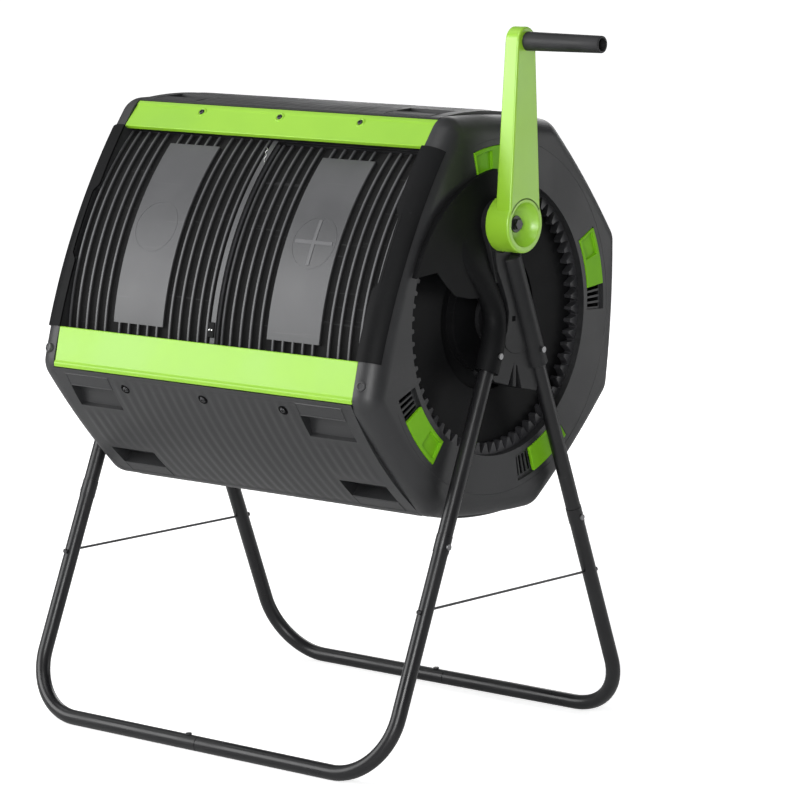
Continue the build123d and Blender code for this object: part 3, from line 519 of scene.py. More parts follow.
# wall panels: one rippled, crowned moulding with four wedge grips, used on six faces
panelSet = {
    "pitch": 0.021, "ripple": 0.0011, "wall": 0.003, "apothem": 0.33013, "crown": 0.66, "corner": 0.04,
    "halfFace": 22.5, "rows": 14, "cornerRows": 5, "seamGap": 0.0005, "flange": 0.014, "endWall": 0.012,
    "column": 0.0035, "endColumns": (0.0025, 0.008, 0.014), "endLip": 0.004, "gripX": (0.204, 0.301),
    "gripColumns": 28, "gripRows": (6, 11), "gripDepth": 0.024, "shallow": 0.008, "tabT": 0.1225, "groove": 0.0012,
    "tabLift": 0.7, "soft": (0.0009, 50), "plainX": (0.014, 0.004), "plainT": (0.034, 0.044), "calmT": 0.012,
    "calmX": (0.3, 0.312),
}
panelFaces = {0: "rear_panel", 1: "rear_upper_panel", 2: "top_panel", 5: "front_lower_panel",
              6: "bottom_panel", 7: "rear_lower_panel"}


def panelColumns():
    (near, far), column, span = pick(panelSet, "gripX column gripColumns")
    xs = [i * column for i in range(int(near / column))]
    xs += [near + (far - near) * i / span for i in range(span + 1)]
    xs += [far + more for more in panelSet["endColumns"]] + [panelEnd - panelSet["endLip"], panelEnd]
    return [-x for x in reversed(xs[1:])] + xs


def buildPanel():
    crown, corner, ripple, groove = pick(panelSet, "crown corner ripple groove")
    step = radians(panelSet["halfFace"])
    low = panelSet["apothem"] - crown  # the crown's own axis
    half = cos(step) * low
    reach = half + sqrt(half * half - low * low + (crown - corner) ** 2)
    seat = Vector((0, reach * sin(step), reach * cos(step)))  # the corner round's axis
    tilt = atan2(seat.y, seat.z - low)
    lean = degrees(tilt)
    edgeT = crown * sin(tilt)
    bm = bmesh.new()
    row = chain(bm, [(x, edgeT, low + crown * cos(tilt)) for x in panelColumns()])
    lastRow = spin(bm, row, 2 * lean, 2 * panelSet["rows"], (0, 0, low))
    rest = panelSet["halfFace"] - lean - degrees(panelSet["seamGap"] / 2 / corner)
    ends = [spin(bm, geom, -side * rest, panelSet["cornerRows"], (0, side * seat.y, seat.z))
            for geom, side in ((lastRow, -1), (row, 1))]
    near, far = panelSet["gripX"]

    def outward(vert):
        return Vector((0, vert.co.y, vert.co.z - low)).normalized()

    for vert in bm.verts:
        x, t = abs(vert.co.x), abs(vert.co.y)
        if t < edgeT + 1e-4:
            plain = smoothstep(*(near - before for before in panelSet["plainX"]), x)
            plain *= smoothstep(*panelSet["plainT"], t)
            calm = (1 - plain) * (1 - smoothstep(edgeT - panelSet["calmT"], edgeT, t))
            calm *= 1 - smoothstep(*panelSet["calmX"], x)
            lift = ripple * (0.5 + 0.5 * cos(2 * pi * vert.co.x / panelSet["pitch"])) * calm
            vert.co += outward(vert) * (lift - ripple * 0.5)
    for geom, side in zip(ends, (-1, 1)):
        inward = Vector((0, -side * sin(step), -cos(step))) * panelSet["flange"]
        move(bm, pullEdges(bm, edgesIn(geom))[0], *inward)
    for end in (-panelEnd, panelEnd):
        rim = [edge for edge in openEdges(bm) if all(abs(vert.co.x - end) < meshSet["sliver"] for vert in edge.verts)]
        for vert in pullEdges(bm, rim)[0]:
            vert.co -= outward(vert) * panelSet["endWall"]
    lowT, highT = (edgeT / panelSet["rows"] * count for count in panelSet["gripRows"])

    def patch(first, last, sx, st):
        return facesWhere(bm, lambda mid: near < sx * mid.x < far and first < st * mid.y < last and mid.z > seat.z)

    for sx in (-1, 1):
        for st in (-1, 1):
            tab = patch(highT, panelSet["tabT"], sx, st)
            for lift in (-1, panelSet["tabLift"]):
                bmesh.ops.inset_region(bm, faces=tab, thickness=groove, depth=groove * lift, use_even_offset=True,
                                       use_boundary=True)
            for vert in sinkFaces(bm, patch(lowT, highT, sx, st)):
                share = (abs(vert.co.y) - lowT) / (highT - lowT)
                vert.co.z -= panelSet["shallow"] + (panelSet["gripDepth"] - panelSet["shallow"]) * share
    return bm


panelMesh = buildPanel()
for index, node in panelFaces.items():
    makePiece("panel_" + node[:-6], panelMesh.copy(), "shell", node, place=drumPlace @ turnX(index * 45 - 90),
              outFrom=drumMiddle, wall=panelSet["wall"], soft=panelSet["soft"])
panelMesh.free()
print("panels made", len(panelFaces))


# a door is a ribbed leaf turned about the bulge axis; each column has a level on the pad stretch and beyond it
def doorColumns():
    depth, draft, half = -doorSet["depth"], doorSet["draft"], doorSet["rib"] / 2
    raised = [(x - half, x + half) for x in doorSet["innerRibs"] + doorSet["outerRibs"]]
    columns = []
    for start, stop in raised + [doorSet["stile"], doorSet["endRib"]]:
        columns += [(start - draft, depth, depth), (start, 0, 0), (stop, 0, 0), (stop + draft, depth, depth)]
    first, last = doorSet["pad"]
    columns += [(first - draft, depth, depth), (first, 0, depth), (last, 0, depth), (last + draft, depth, depth)]
    for x in doorSet["stubs"]:
        columns += [(x - half - draft, 0, depth), (x - half, 0, 0), (x + half, 0, 0), (x + half + draft, 0, depth)]
    return sorted(column for column in columns if doorSet["inner"] <= column[0] <= doorSet["outer"])


def buildDoor(crest):
    columns = doorColumns()
    bm = bmesh.new()
    columnOf, zoneOf = (bm.verts.layers.int.new(name) for name in ("column", "zone"))
    stops = [degrees(asin(half / drumSet["doorBulge"])) for half in pick(doorSet, "padHalf ribHalf leafHalf")]
    tilt = radians(stops[0])
    row = chain(bm, [(column[0], crest * sin(tilt), crest * cos(tilt)) for column in columns])
    for number, vert in enumerate(vertsIn(row)):
        vert[columnOf] = number
    last = spin(bm, row, 2 * stops[0], doorSet["padSteps"])
    for edges, side in ((edgesIn(row), -1), (edgesIn(last), 1)):
        for number in (1, 2):
            verts, edges = pullEdges(bm, edges)
            for vert in verts:
                vert[zoneOf] = number
            edges = edgesIn(spin(bm, verts + edges, side * (stops[number] - stops[number - 1]), doorSet["edgeSteps"]))
    for vert in bm.verts:
        levels = (*columns[vert[columnOf]][1:], -doorSet["depth"])
        share = (crest + levels[vert[zoneOf]]) / hypot(vert.co.y, vert.co.z)
        vert.co.y *= share
        vert.co.z *= share
    return bm


# flat work laid on a door: y becomes distance round the bulge, z height over the crest
def bendOnDoor(bm, crest):
    for vert in bm.verts:
        angle, reach = vert.co.y / crest, crest + vert.co.z
        vert.co.y, vert.co.z = reach * sin(angle), reach * cos(angle)


for side, flip in reversed(sides):
    makePiece("doorLeaf_" + side, buildDoor(doorSet[side + "Crest"]), "door" + side.capitalize(), "door_" + side,
              place=doorPlace @ flip, outFrom=doorPlace.to_translation(), wall=doorSet["wall"], soft=doorSet["soft"])
print("doors made")

# door marks: a plain ring and plus, standing a little proud of the pad; the plus is coloured lighter than the pad, a
# painted highlight
markSet = {"centre": (0.168, 0.004), "ring": 0.045, "band": 0.0022, "ringProud": 0.0005, "arm": 0.039,
           "armWidth": 0.0068, "armCuts": 6, "plusProud": 0.0011, "sunk": 0.0002, "soft": (0.0006, 45)}


def raiseMark(bm, height, crest):
    thicken(bm, height)
    move(bm, bm.verts, *markSet["centre"], -markSet["sunk"])
    bendOnDoor(bm, crest)
    return bm


def buildRing(crest):
    bm = bmesh.new()
    inner = pullEdges(bm, ringEdges(bm, markSet["ring"], 64))[0]
    share = 1 - markSet["band"] / markSet["ring"]
    bmesh.ops.scale(bm, vec=(share, share, 1), verts=inner)
    return raiseMark(bm, markSet["ringProud"], crest)


def buildPlus(crest):
    bm = bmesh.new()
    reach, half = markSet["arm"], markSet["armWidth"] / 2
    stops = [-reach, -half, half, reach]
    bmesh.ops.create_grid(bm, x_segments=3, y_segments=3, size=reach)
    for vert in bm.verts:
        for axis in (0, 1):
            vert.co[axis] = stops[round((vert.co[axis] / reach + 1) * 1.5)]
    corners = facesWhere(bm, lambda mid: min(abs(mid.x), abs(mid.y)) > half)
    bmesh.ops.delete(bm, geom=corners, context="FACES")
    long = [edge for edge in bm.edges if abs(edge.verts[0].co.y - edge.verts[1].co.y) > 2 * half]
    bmesh.ops.subdivide_edges(bm, edges=long, cuts=markSet["armCuts"], use_grid_fill=True)
    return raiseMark(bm, markSet["plusProud"], crest)


for side, flip in reversed(sides):
    makePiece("doorRing_" + side, buildRing(doorSet[side + "Crest"]), "door" + side.capitalize(),
              on=("door_" + side, "door_plastic"), place=doorPlace @ flip)
makePiece("doorPlus", buildPlus(doorSet["rightCrest"]), "markHighlight", on=("door_right", "door_plastic"), place=doorPlace,
          soft=markSet["soft"])

# what holds the meeting stile: a bent wire clip at the top, a small latch with two rivets at the foot
latchSet = {
    "wire": [
        (-0.0105, 0.168), (-0.0045, 0.1632), (-0.0062, 0.157), (0.0004, 0.151), (-0.0008, 0.144), (0.0036, 0.137),
    ],
    "wireWide": 0.0017, "wireTall": 0.0016, "wireCuts": 2, "sunk": 0.0004, "block": (0.0068, 0.0125),
    "at": (-0.0015, -0.1575), "tall": 0.003, "rivets": (-0.0028, 0.0028), "rivet": (0.0019, 0.0012, 0.0011),
}


def buildClip():
    bm = bmesh.new()
    line = chain(bm, [(x, y, -latchSet["sunk"]) for x, y in latchSet["wire"]])
    bmesh.ops.subdivide_edges(bm, edges=edgesIn(line), cuts=latchSet["wireCuts"])
    move(bm, pullEdges(bm, bm.edges[:])[0], latchSet["wireWide"], 0, 0)
    thicken(bm, latchSet["wireTall"])
    return bm


def buildLatch():
    bm = bmesh.new()
    bmesh.ops.create_grid(bm, x_segments=2, y_segments=6, size=1)
    bmesh.ops.scale(bm, vec=(*latchSet["block"], 1), verts=bm.verts)
    thicken(bm, latchSet["tall"])
    move(bm, bm.verts, *latchSet["at"], -latchSet["sunk"])
    return bm


def buildRivets():
    bm = bmesh.new()
    (x, y), (big, small, tall) = pick(latchSet, "at rivet")
    for aside in latchSet["rivets"]:
        spot = shift(x + aside, y, latchSet["tall"] - latchSet["sunk"] + tall / 2)
        bmesh.ops.create_cone(bm, cap_ends=True, segments=24, radius1=big, radius2=small, depth=tall, matrix=spot)
    return bm


latchParts = {
    "stileClip": (buildClip, "zinc", "black_steel", 0.0004),
    "stileLatch": (buildLatch, "shadeBlack", "frame_plastic", 0.0012),
    "stileRivets": (buildRivets, "zinc", "black_steel", 0.0003),
}
for name, (build, look, slotName, softWidth) in latchParts.items():
    bm = build()
    bendOnDoor(bm, doorSet["leftCrest"])
    makePiece(name, bm, look, on=("door_left", slotName), place=doorPlace, soft=(softWidth, 40))
print("door marks and latch made")

# lime strips from the door opening to the seam, with a lip turned in at both long edges
stripSet = {
    "thick": 0.0032, "doorLip": 0.008, "doorRound": 0.001, "seamLip": 0.014, "inset": 1.4, "gap": 0.00075,
    "beads": {1: 0.0008, -1: 0.0022}, "beadWide": 0.012, "beadSteps": 8, "endDrop": 0.002, "seamReach": 0.342255,
    "endGap": 0.0003, "soft": (0.0009, 40, 3),
}


def stripOutline(side):
    (bulge, half), thick = pick(drumSet, "doorBulge doorHalf"), stripSet["thick"]
    edge = Vector((half, sqrt(drumSet["capDoorRadius"] ** 2 - half ** 2) - drumSet["faceBulge"] + bulge))
    reach, slope = stripSet["seamReach"] - stripSet["endDrop"], sqrt(0.5)
    end = Vector(((reach - stripSet["gap"]) * slope - side * drumSet["doorShift"],
                  (reach + stripSet["gap"]) * slope + bulge - drumSet["doorCrest"]))
    way, length = (end - edge).normalized(), (end - edge).length
    under = Vector((way.y, -way.x))
    foot = end + Vector((-slope, -slope)) * stripSet["seamLip"]
    points = [edge + under * stripSet["doorLip"], edge + under * stripSet["doorRound"],
              edge + way * stripSet["doorRound"]]
    for step in range(stripSet["beadSteps"] + 1):
        share = step / stripSet["beadSteps"]
        spot = length - stripSet["beadWide"] + stripSet["beadWide"] * share
        points.append(edge + way * spot - under * stripSet["beads"][side] * sin(pi * share) ** 2)
    inset = thick * stripSet["inset"]
    points += [foot, foot + Vector((-slope, slope)) * thick, edge + way * (length - inset) + under * inset,
               edge + way * thick + under * thick, edge + way * thick + under * stripSet["doorLip"]]
    return points


for name, side in (("upper", 1), ("lower", -1)):
    bm = bmesh.new()
    prismX(bm, stripOutline(side), -panelEnd + stripSet["endGap"], panelEnd - stripSet["endGap"])
    makePiece("strip_" + name, bm, "lime", name + "_strip", place=doorPlace @ Matrix.Diagonal((1, side, 1, 1)),
              hard=30, soft=stripSet["soft"])
print("strips made")

# cheeks: bands round the door side of each cap rim, with a scooped finger notch
cheekSet = {
    "edge": 0.3225, "band": 0.004, "rimRound": 0.034, "gap": 0.0003, "thick": 0.0033, "wrap": 55, "wrapSteps": 12,
    "steps": 72, "notch": 0.0095, "notchFlat": 0.054, "notchEnd": 0.07, "notchLeast": 0.35, "half": 0.18075,
    "soft": (0.0008, 45),
}


def buildCheek():
    edge, band, curve = pick(cheekSet, "edge band rimRound")
    rimX, rimR = capFace - curve, drumSet["capDoorRadius"] - curve
    reach = curve + cheekSet["gap"] + cheekSet["thick"]
    profile = [(edge, rimR + reach), (edge + band, rimR + reach)]
    profile += arcPoints((rimX, rimR), reach, 90, 90 - cheekSet["wrap"], cheekSet["wrapSteps"])
    tilt = asin(cheekSet["half"] / drumSet["faceBulge"])
    bm = bmesh.new()
    row = chain(bm, [(x, r * sin(tilt), r * cos(tilt)) for x, r in profile])
    spin(bm, row, 2 * degrees(tilt), cheekSet["steps"])
    for vert in bm.verts:
        if vert.co.x < rimX + band:
            ramp = 1 - smoothstep(cheekSet["notchFlat"], cheekSet["notchEnd"], abs(vert.co.y))
            share = 1 - (vert.co.x - edge) / (rimX + band - edge)
            vert.co.x += cheekSet["notch"] * ramp * max(cheekSet["notchLeast"], share)
    return bm


for side, flip in sides:
    # the cheeks are coloured in the darker copy of the black plastic: painted shade
    makePiece("cheekBand_" + side, buildCheek(), "shadeBlack", "cheek_" + side, place=facePlace @ flip, outFrom=drumMiddle,
              wall=cheekSet["thick"], soft=cheekSet["soft"])
print("cheeks made")

# end caps, hub plates, gears, rails and bearings from their own solids, with eased edges
easeSet = {
    "end_cap_left": 0.0008, "end_cap_right": 0.0008, "hub_plate_left": 0.001, "hub_plate_right": 0.001,
    "gear_guard": 0.0012, "upper_rail": 0.0005, "lower_rail": 0.0005, "divider": 0.001, "pinion": 0.0006,
    "ring_gear": 0.0004, "axle_left": 0.0006, "axle_right": 0.0006, "crank_bush": 0.0005,
    "hub_bearing_left": 0.0005, "hub_bearing_right": 0.0005,
}
for node, width in easeSet.items():
    # hub plates and gear guard in the cap recess take the darker copy of the black plastic: painted shade
    look = "shadeBlack" if node.startswith(("hub_plate", "gear_guard")) else slotFinish[slotOf[node]]
    makePiece("eased_" + node, eased(node, width), look, node, hard=28, even=True)
print("eased pieces made", len(easeSet))

# a thin bead on the flat of each cap, all round but for the door side
beadSet = {"radius": 0.2878, "wide": 0.0016, "high": 0.0007, "sunk": 0.0003, "first": 210.0, "sweep": 255.0,
           "steps": 120}
for side, flip in sides:
    bm = bmesh.new()
    half, low = beadSet["wide"] / 2, capFace - beadSet["sunk"]
    high = low + beadSet["high"]
    profile = [(low, -half), (high, -half * 0.5), (high, half * 0.5), (low, half), (low, -half)]
    spin(bm, chain(bm, [(x, beadSet["radius"] + r, 0) for x, r in profile]), beadSet["sweep"], beadSet["steps"])
    makePiece("capBead_" + side, bm, "shell", on=("drum", "shell_plastic"),
              place=drumPlace @ flip @ turnX(beadSet["first"]), hard=60, seal=True)

# vent sliders: a sector plate with a sunk thumb hollow toward its leading end
ventSet = {
    "inner": 0.2349, "outer": 0.2777, "low": 0.3603, "high": 0.3662, "span": 20.5, "hollow": (0.8, 9.0),
    "rim": 0.002, "border": 0.0065, "sunk": 0.0046, "steps": 40, "soft": (0.0011, 40, 3),
    "angles": {"rear_upper": 20.25, "top": 98.25, "front": 225.25, "rear_lower": 303.25},
}


def buildVent(centre):
    inner, outer, rim, border = pick(ventSet, "inner outer rim border")
    span, high = pick(ventSet, "span high")
    bm = bmesh.new()
    rows = [inner, inner + rim, inner + border, (inner + outer) / 2, outer - border, outer - rim, outer]
    spin(bm, chain(bm, [(high, r, 0) for r in rows]), span, ventSet["steps"])
    bmesh.ops.remove_doubles(bm, verts=bm.verts, dist=meshSet["sliver"])
    verts, foot = pullEdges(bm, openEdges(bm))
    move(bm, verts, ventSet["low"] - high, 0, 0)
    bmesh.ops.edgeloop_fill(bm, edges=foot)

    def inHollow(mid):
        turn = degrees(atan2(mid.z, mid.y)) - span / 2
        within = inner + border < hypot(mid.y, mid.z) < outer - border
        return within and ventSet["hollow"][0] < turn < ventSet["hollow"][1] and abs(mid.x - high) < meshSet["same"]

    move(bm, sinkFaces(bm, facesWhere(bm, inHollow)), -ventSet["sunk"], 0, 0)
    bm.transform(turnX(centre - span / 2))
    return bm


for side, flip in sides:
    for name, angle in ventSet["angles"].items():
        # the sliders are coloured in the darker copy of the lime: painted shade
        makePiece("ventSlide_" + side + "_" + name, buildVent(angle), "vent", "vent_" + side + "_" + name,
                  place=drumPlace @ flip, hard=35, soft=ventSet["soft"])
print("vents made")

# stand tubes: a bent base half with its lower leg, and a straight upper leg pushed into its collar
tubeSet = {
    "radius": 0.0125, "wall": 0.0016, "baseY": 0.322, "baseZ": 0.0125, "bend": 0.105, "bendSteps": 20,
    "apex": 0.798, "joint": 0.385, "collar": 0.03, "collarEase": 0.002, "collarProud": 0.0007, "gap": 0.0003,
    "frontTop": 0.672, "rearTop": 0.79, "meetGap": 0.0003, "liner": 0.9,
}
lean = atan2(tubeSet["baseY"], tubeSet["apex"] - tubeSet["baseZ"])
legWay = Vector((0, sin(lean), cos(lean)))


def legPoint(height):
    share = (height - tubeSet["baseZ"]) / (tubeSet["apex"] - tubeSet["baseZ"])
    return Vector((legX, -tubeSet["baseY"] * (1 - share), height))


def tubeStart(bm, spot, way):
    return ringEdges(bm, tubeSet["radius"], 32, aim(spot, way, upright))


def tubeRun(bm, edges, way, length, proud=None):
    verts, edges = pullEdges(bm, edges)
    move(bm, verts, *way * length)
    if proud is not None:
        centre = sum((vert.co for vert in verts), Vector()) / len(verts)
        scale = (tubeSet["radius"] + proud) / (verts[0].co - centre).length
        for vert in verts:
            vert.co = centre + (vert.co - centre) * scale
    return edges


def buildBase():
    bm = bmesh.new()
    y, z, bend, gap, collar, ease, proud = pick(tubeSet, "baseY baseZ bend meetGap collar collarEase collarProud")
    y = -y
    edges = tubeStart(bm, (-2 * gap, y, z), along)
    # a narrower liner reaches over the middle, where the two halves meet
    bmesh.ops.scale(bm, vec=(1, tubeSet["liner"], tubeSet["liner"]), verts=vertsOf(edges), space=shift(0, -y, -z))
    edges = tubeRun(bm, edges, along, 3 * gap)
    edges = tubeRun(bm, edges, along, gap, 0.0)
    edges = tubeRun(bm, edges, along, legX - bend - 2 * gap)
    centre = Vector((legX - bend, y, z)) + legWay * bend
    turned = spin(bm, vertsOf(edges) + edges, 90, tubeSet["bendSteps"], centre, (0, -legWay.z, legWay.y))
    length = (legPoint(tubeSet["joint"]) - Vector((legX, y, z)) - legWay * bend).length
    edges = tubeRun(bm, edgesIn(turned), legWay, length - collar)
    edges = tubeRun(bm, edges, legWay, ease, proud)
    tubeRun(bm, edges, legWay, collar - ease, proud)
    return bm


def buildLeg(top):
    bm = bmesh.new()
    start = legPoint(tubeSet["joint"]) + legWay * tubeSet["gap"]
    tubeRun(bm, tubeStart(bm, start, legWay), legWay, (legPoint(top) - start).length)
    return bm


for side, flipX in sides:
    for end, flipY in (("front", Matrix()), ("rear", mirrorY)):
        makePiece("baseTube_" + end + "_" + side, buildBase(), "tube", end + "_base_" + side, place=flipX @ flipY,
                  hard=50, wall=tubeSet["wall"])
        makePiece("legTube_" + end + "_" + side, buildLeg(tubeSet[end + "Top"]), "tube", "leg_" + end + "_" + side,
                  place=flipX @ flipY, hard=50, wall=tubeSet["wall"])
print("tubes made")

# hub brackets: a deep web with a scooped front edge, a rear leg sleeve and, on the gear side, an arm to the crank
# bush; outlines are (y, z) from the drum's axis, flank rings (x, y, z, half depth, half width)
bracketSet = {
    "back": 0.3545, "front": 0.3923, "step": 0.0012, "facing": 0.004, "ease": (0.0016, 3), "easeFrom": 40,
    "hubBack": 0.348, "hubRadius": 0.046, "hubBore": 0.012, "hubEase": 0.001, "hubSunk": 0.002, "sleeve": 0.0178,
    "boreGap": 0.0004, "mouth": 0.02, "mouthEase": 0.0006, "sleeveEase": 0.0008, "dome": 0.3, "domeSteps": 8,
    "low": 0.635, "rearTop": 0.82, "arm": (0.3575, 0.3871), "armHalf": 0.038, "socket": 0.0042,
    "socketSpan": (-0.002, 0.0003), "leanFrom": (-0.055, 0.0), "hollow": ((0.012, -0.012), 0.046, 218, 322, 12),
    "neck": ((-0.05, 0.098), (-0.04, 0.06), (0.002, 0.06), (0.006, 0.1)),
    "flank": (
        (0.3893, -0.0668, -0.08, 0.01965, 0.01965), (0.3893, -0.0574, -0.057, 0.01965, 0.01965),
        (0.3885, -0.0512, -0.043, 0.0197, 0.0197), (0.3855, -0.044, -0.03, 0.0197, 0.0197),
        (0.3815, -0.0365, -0.0165, 0.0192, 0.0192), (0.3785, -0.032, -0.003, 0.0186, 0.019),
        (0.3765, -0.0315, 0.011, 0.018, 0.0205), (0.375, -0.0365, 0.027, 0.0178, 0.0225),
        (0.374, -0.047, 0.045, 0.0172, 0.0255), (0.373, -0.0595, 0.064, 0.0165, 0.029),
        (0.372, -0.0725, 0.083, 0.0155, 0.033), (0.3712, -0.0805, 0.101, 0.0138, 0.036),
        (0.3705, -0.0845, 0.12, 0.0112, 0.038), (0.37, -0.086, 0.14, 0.0085, 0.038),
        (0.37, -0.086, 0.156, 0.0064, 0.036),
    ),
    "flankEnd": (
        (0.3745, -0.0425, 0.036, 0.0165, 0.0195), (0.374, -0.045, 0.042, 0.013, 0.015),
        (0.374, -0.0462, 0.045, 0.007, 0.008),
    ),
    "flankShared": 8,
    "scoop": (
        (-0.03, 0.109), (-0.04, 0.1101), (-0.048, 0.1125), (-0.0475, 0.1), (-0.043, 0.082), (-0.033, 0.063),
        (-0.025, 0.046), (-0.017, 0.028), (-0.0125, 0.011), (-0.013, -0.004), (-0.0175, -0.019), (-0.0255, -0.033),
        (-0.035, -0.047),
    ),
    "lower": (
        (-0.044, -0.062), (-0.053, -0.077), (-0.056, -0.088), (-0.047, -0.098), (-0.011, -0.107), (0.003, -0.074),
        (0.001, -0.110), (0.0095, -0.112), (0.0095, -0.076), (0.0115, -0.077), (0.0235, -0.1155), (0.064, -0.124),
    ),
    "right": ((0.072, -0.1), (0.034, 0.0), (0.0, 0.084), (-0.004, 0.1), (-0.012, 0.1125), (-0.02, 0.1101)),
}
sleeveBore = tubeSet["radius"] + bracketSet["boreGap"]


def fromAxis(points):
    return [(y, axisZ + z) for y, z in points]


def buildSleeve(length):
    radius, ease, dome = bracketSet["sleeve"], bracketSet["mouthEase"], bracketSet["sleeve"] * bracketSet["dome"]
    profile = [(bracketSet["mouth"], sleeveBore), (ease, sleeveBore), (0, sleeveBore + ease),
               (0, radius - bracketSet["sleeveEase"]), (bracketSet["sleeveEase"], radius)]
    for step in range(bracketSet["domeSteps"] + 1):
        angle = radians(90 * step / bracketSet["domeSteps"])
        profile.append((length - dome + dome * sin(angle), max(0.0002, radius * cos(angle))))
    return lathe(profile, 40)


# the front sleeve runs on as a round flank up the scooped edge of the web
def buildFlank(rings):
    bm = bmesh.new()
    loops = []
    for x, y, z, deep, wide in rings:
        way = legWay.lerp(upright, smoothstep(*bracketSet["leanFrom"], z))
        place = aim((x, y, axisZ + z), way, upright) @ Matrix.Diagonal((deep, wide, 1, 1))
        loops.append(ringEdges(bm, 1, 48, place))
    for lower, upper in zip(loops, loops[1:]):
        bmesh.ops.bridge_loops(bm, edges=lower + upper)
    foot = Vector((rings[0][0], rings[0][1], axisZ + rings[0][2]))
    for vert in pullEdges(bm, loops[0])[0]:
        vert.co = foot + (vert.co - foot) * (sleeveBore / bracketSet["sleeve"])
    bmesh.ops.edgeloop_fill(bm, edges=loops[-1])
    return bm


def buildBracket(withArm):
    bm = bmesh.new()
    back, front, radius = pick(bracketSet, "back front hubRadius")
    scoop, lower, right = map(fromAxis, pick(bracketSet, "scoop lower right"))
    prismX(bm, scoop + lower + right, back, front - bracketSet["step"])
    middle, *sweep = bracketSet["hollow"]
    hollow = arcPoints(fromAxis([middle])[0], *sweep)
    prismX(bm, scoop[:-1] + hollow[1:-1] + right[1:], front - bracketSet["facing"], front)
    if withArm:
        head = arcPoints(crankAt.yz, bracketSet["armHalf"], -8, 188, 24)
        prismX(bm, head + fromAxis(bracketSet["neck"]), *bracketSet["arm"])
    bevelEdges(bm, sharpEdges(bm, bracketSet["easeFrom"]), *bracketSet["ease"], clamp=True)
    hubBack, bore, ease = pick(bracketSet, "hubBack hubBore hubEase")
    hubFront = back + bracketSet["hubSunk"]
    hub = lathe([(hubBack, bore), (hubBack, radius - ease), (hubBack + ease, radius), (hubFront, radius),
                 (hubFront, bore)], 56)
    joinMesh(bm, hub, shift(0, 0, axisZ))
    start = legPoint(bracketSet["low"])
    sleeve = buildSleeve((legPoint(bracketSet["rearTop"]) - start).length)
    joinMesh(bm, sleeve, mirrorY @ aim(start, legWay))
    return bm


for side, flip in sides:
    makePiece("hubBracket_" + side, buildBracket(side == "right"), "frame", "hub_bracket_" + side, place=flip,
              hard=35, seal=True, even=True)
    rings = bracketSet["flank"]
    if side == "left":
        rings = rings[:bracketSet["flankShared"]] + bracketSet["flankEnd"]
    # the flank is coloured in the darker copy of the black plastic: painted shade on the web's shaded side
    makePiece("bracketFlank_" + side, buildFlank(rings), "shadeBlack", on=("stand", "frame_plastic"), place=flip, hard=50,
              seal=True)
    # a near-black square set in the bracket face stands for the axle hole: painted shade
    socket = bmesh.new()
    half = bracketSet["socket"]
    square = fromAxis([(-half, -half), (half, -half), (half, half), (-half, half)])
    prismX(socket, square, *(bracketSet["front"] + step for step in bracketSet["socketSpan"]))
    makePiece("axleSocket_" + side, socket, "pitShade", on=("stand", "frame_plastic"), place=flip)
print("brackets made")

# crank: a deep dished boss and a tapering arm, with the bolt at the bottom of the dish
crankSet = {
    "back": 0.3894, "front": 0.4366, "boss": 0.0455, "bore": 0.0062, "backEase": 0.003, "bossRound": 0.0035,
    "dish": 0.0355, "dishWall": ((0.0, 0.001), (0.0006, 0.0), (0.008, -0.0035), (0.014, -0.008)),
    "dishFloor": 0.019, "dishDepth": 0.019, "length": 0.29, "wide": (0.079, 0.0455), "thick": (0.031, 0.027),
    "round": (0.0034, 4), "neck": 0.0402, "neckClear": 0.004, "corner": 0.0125,
}


def buildCrank():
    back, front, boss, bore, curve, dish = pick(crankSet, "back front boss bore bossRound dish")
    floor = front - crankSet["dishDepth"]
    profile = [(back, bore), (back, boss - crankSet["backEase"]), (back + crankSet["backEase"], boss)]
    profile += arcPoints((front - curve, boss - curve), curve, 90, 0, 6)
    profile += [(front - depth, dish + more) for depth, more in crankSet["dishWall"]]
    bm = lathe(profile + [(floor, crankSet["dishFloor"]), (floor, bore), (back, bore)], 64)
    arm = bmesh.new()
    low, high = (width / 2 for width in crankSet["wide"])
    top, (foot, tip) = crankSet["length"], crankSet["thick"]
    outline = arcPoints((0, 0), crankSet["neck"], 150, 30, 20) + [(low, crankSet["corner"])]
    outline += arcPoints((0, top), high, 4, 176, 18) + [(-low, crankSet["corner"])]
    prismX(arm, outline, front - foot, front)
    for vert in arm.verts:
        if vert.co.x < front - 0.001:
            vert.co.x = front - foot + (foot - tip) * min(1.0, max(0.0, vert.co.z / top))
    bmesh.ops.recalc_face_normals(arm, faces=arm.faces)
    clear = crankSet["neck"] + crankSet["neckClear"]
    outside = [edge for edge in sharpEdges(arm, 52) if max(vert.co.yz.length for vert in edge.verts) > clear]
    bevelEdges(arm, outside, *crankSet["round"])
    joinMesh(bm, arm)
    bm.transform(shift(0, crankAt.y, crankAt.z))
    return bm


# the lever is coloured in the lighter copy of the lime: painted light
makePiece("crankLever", buildCrank(), "crank", "crank_arm", even=True)

# grip: a slightly tapering sleeve with a cupped end
gripSet = {
    "span": (0.4374, 0.5834), "outer": (0.0152, 0.0136), "bore": 0.0085, "ease": 0.001, "cup": 0.014,
    "taper": (0.25, 0.5, 0.75, 0.985),
    "tip": ((0.0007, 0.0003), (0.0, 0.0012), (0.0, 0.003), (0.0006, 0.0036), (0.014, 0.0042)),
}


def buildGrip():
    (first, last), (big, small), bore = pick(gripSet, "span outer bore")
    profile = [(first, bore), (first, big - gripSet["ease"]), (first + gripSet["ease"], big)]
    profile += [(first + (last - first) * share, big + (small - big) * share) for share in gripSet["taper"]]
    profile += [(last - back, small - inside) for back, inside in gripSet["tip"]]
    return lathe(profile + [(last - gripSet["cup"], bore), (first, bore)], 48)


makePiece("crankGrip", buildGrip(), "grip", "crank_grip", place=shift(0, gripAt.y, gripAt.z), hard=35)

# crank bolt: a washer and a six-sided head
boltSet = {"washer": 0.0135, "thick": 0.0018, "ease": 0.0004, "sunk": 0.0002, "head": 0.009, "height": 0.006,
           "middle": 0.0003, "soft": (0.0006, 40)}


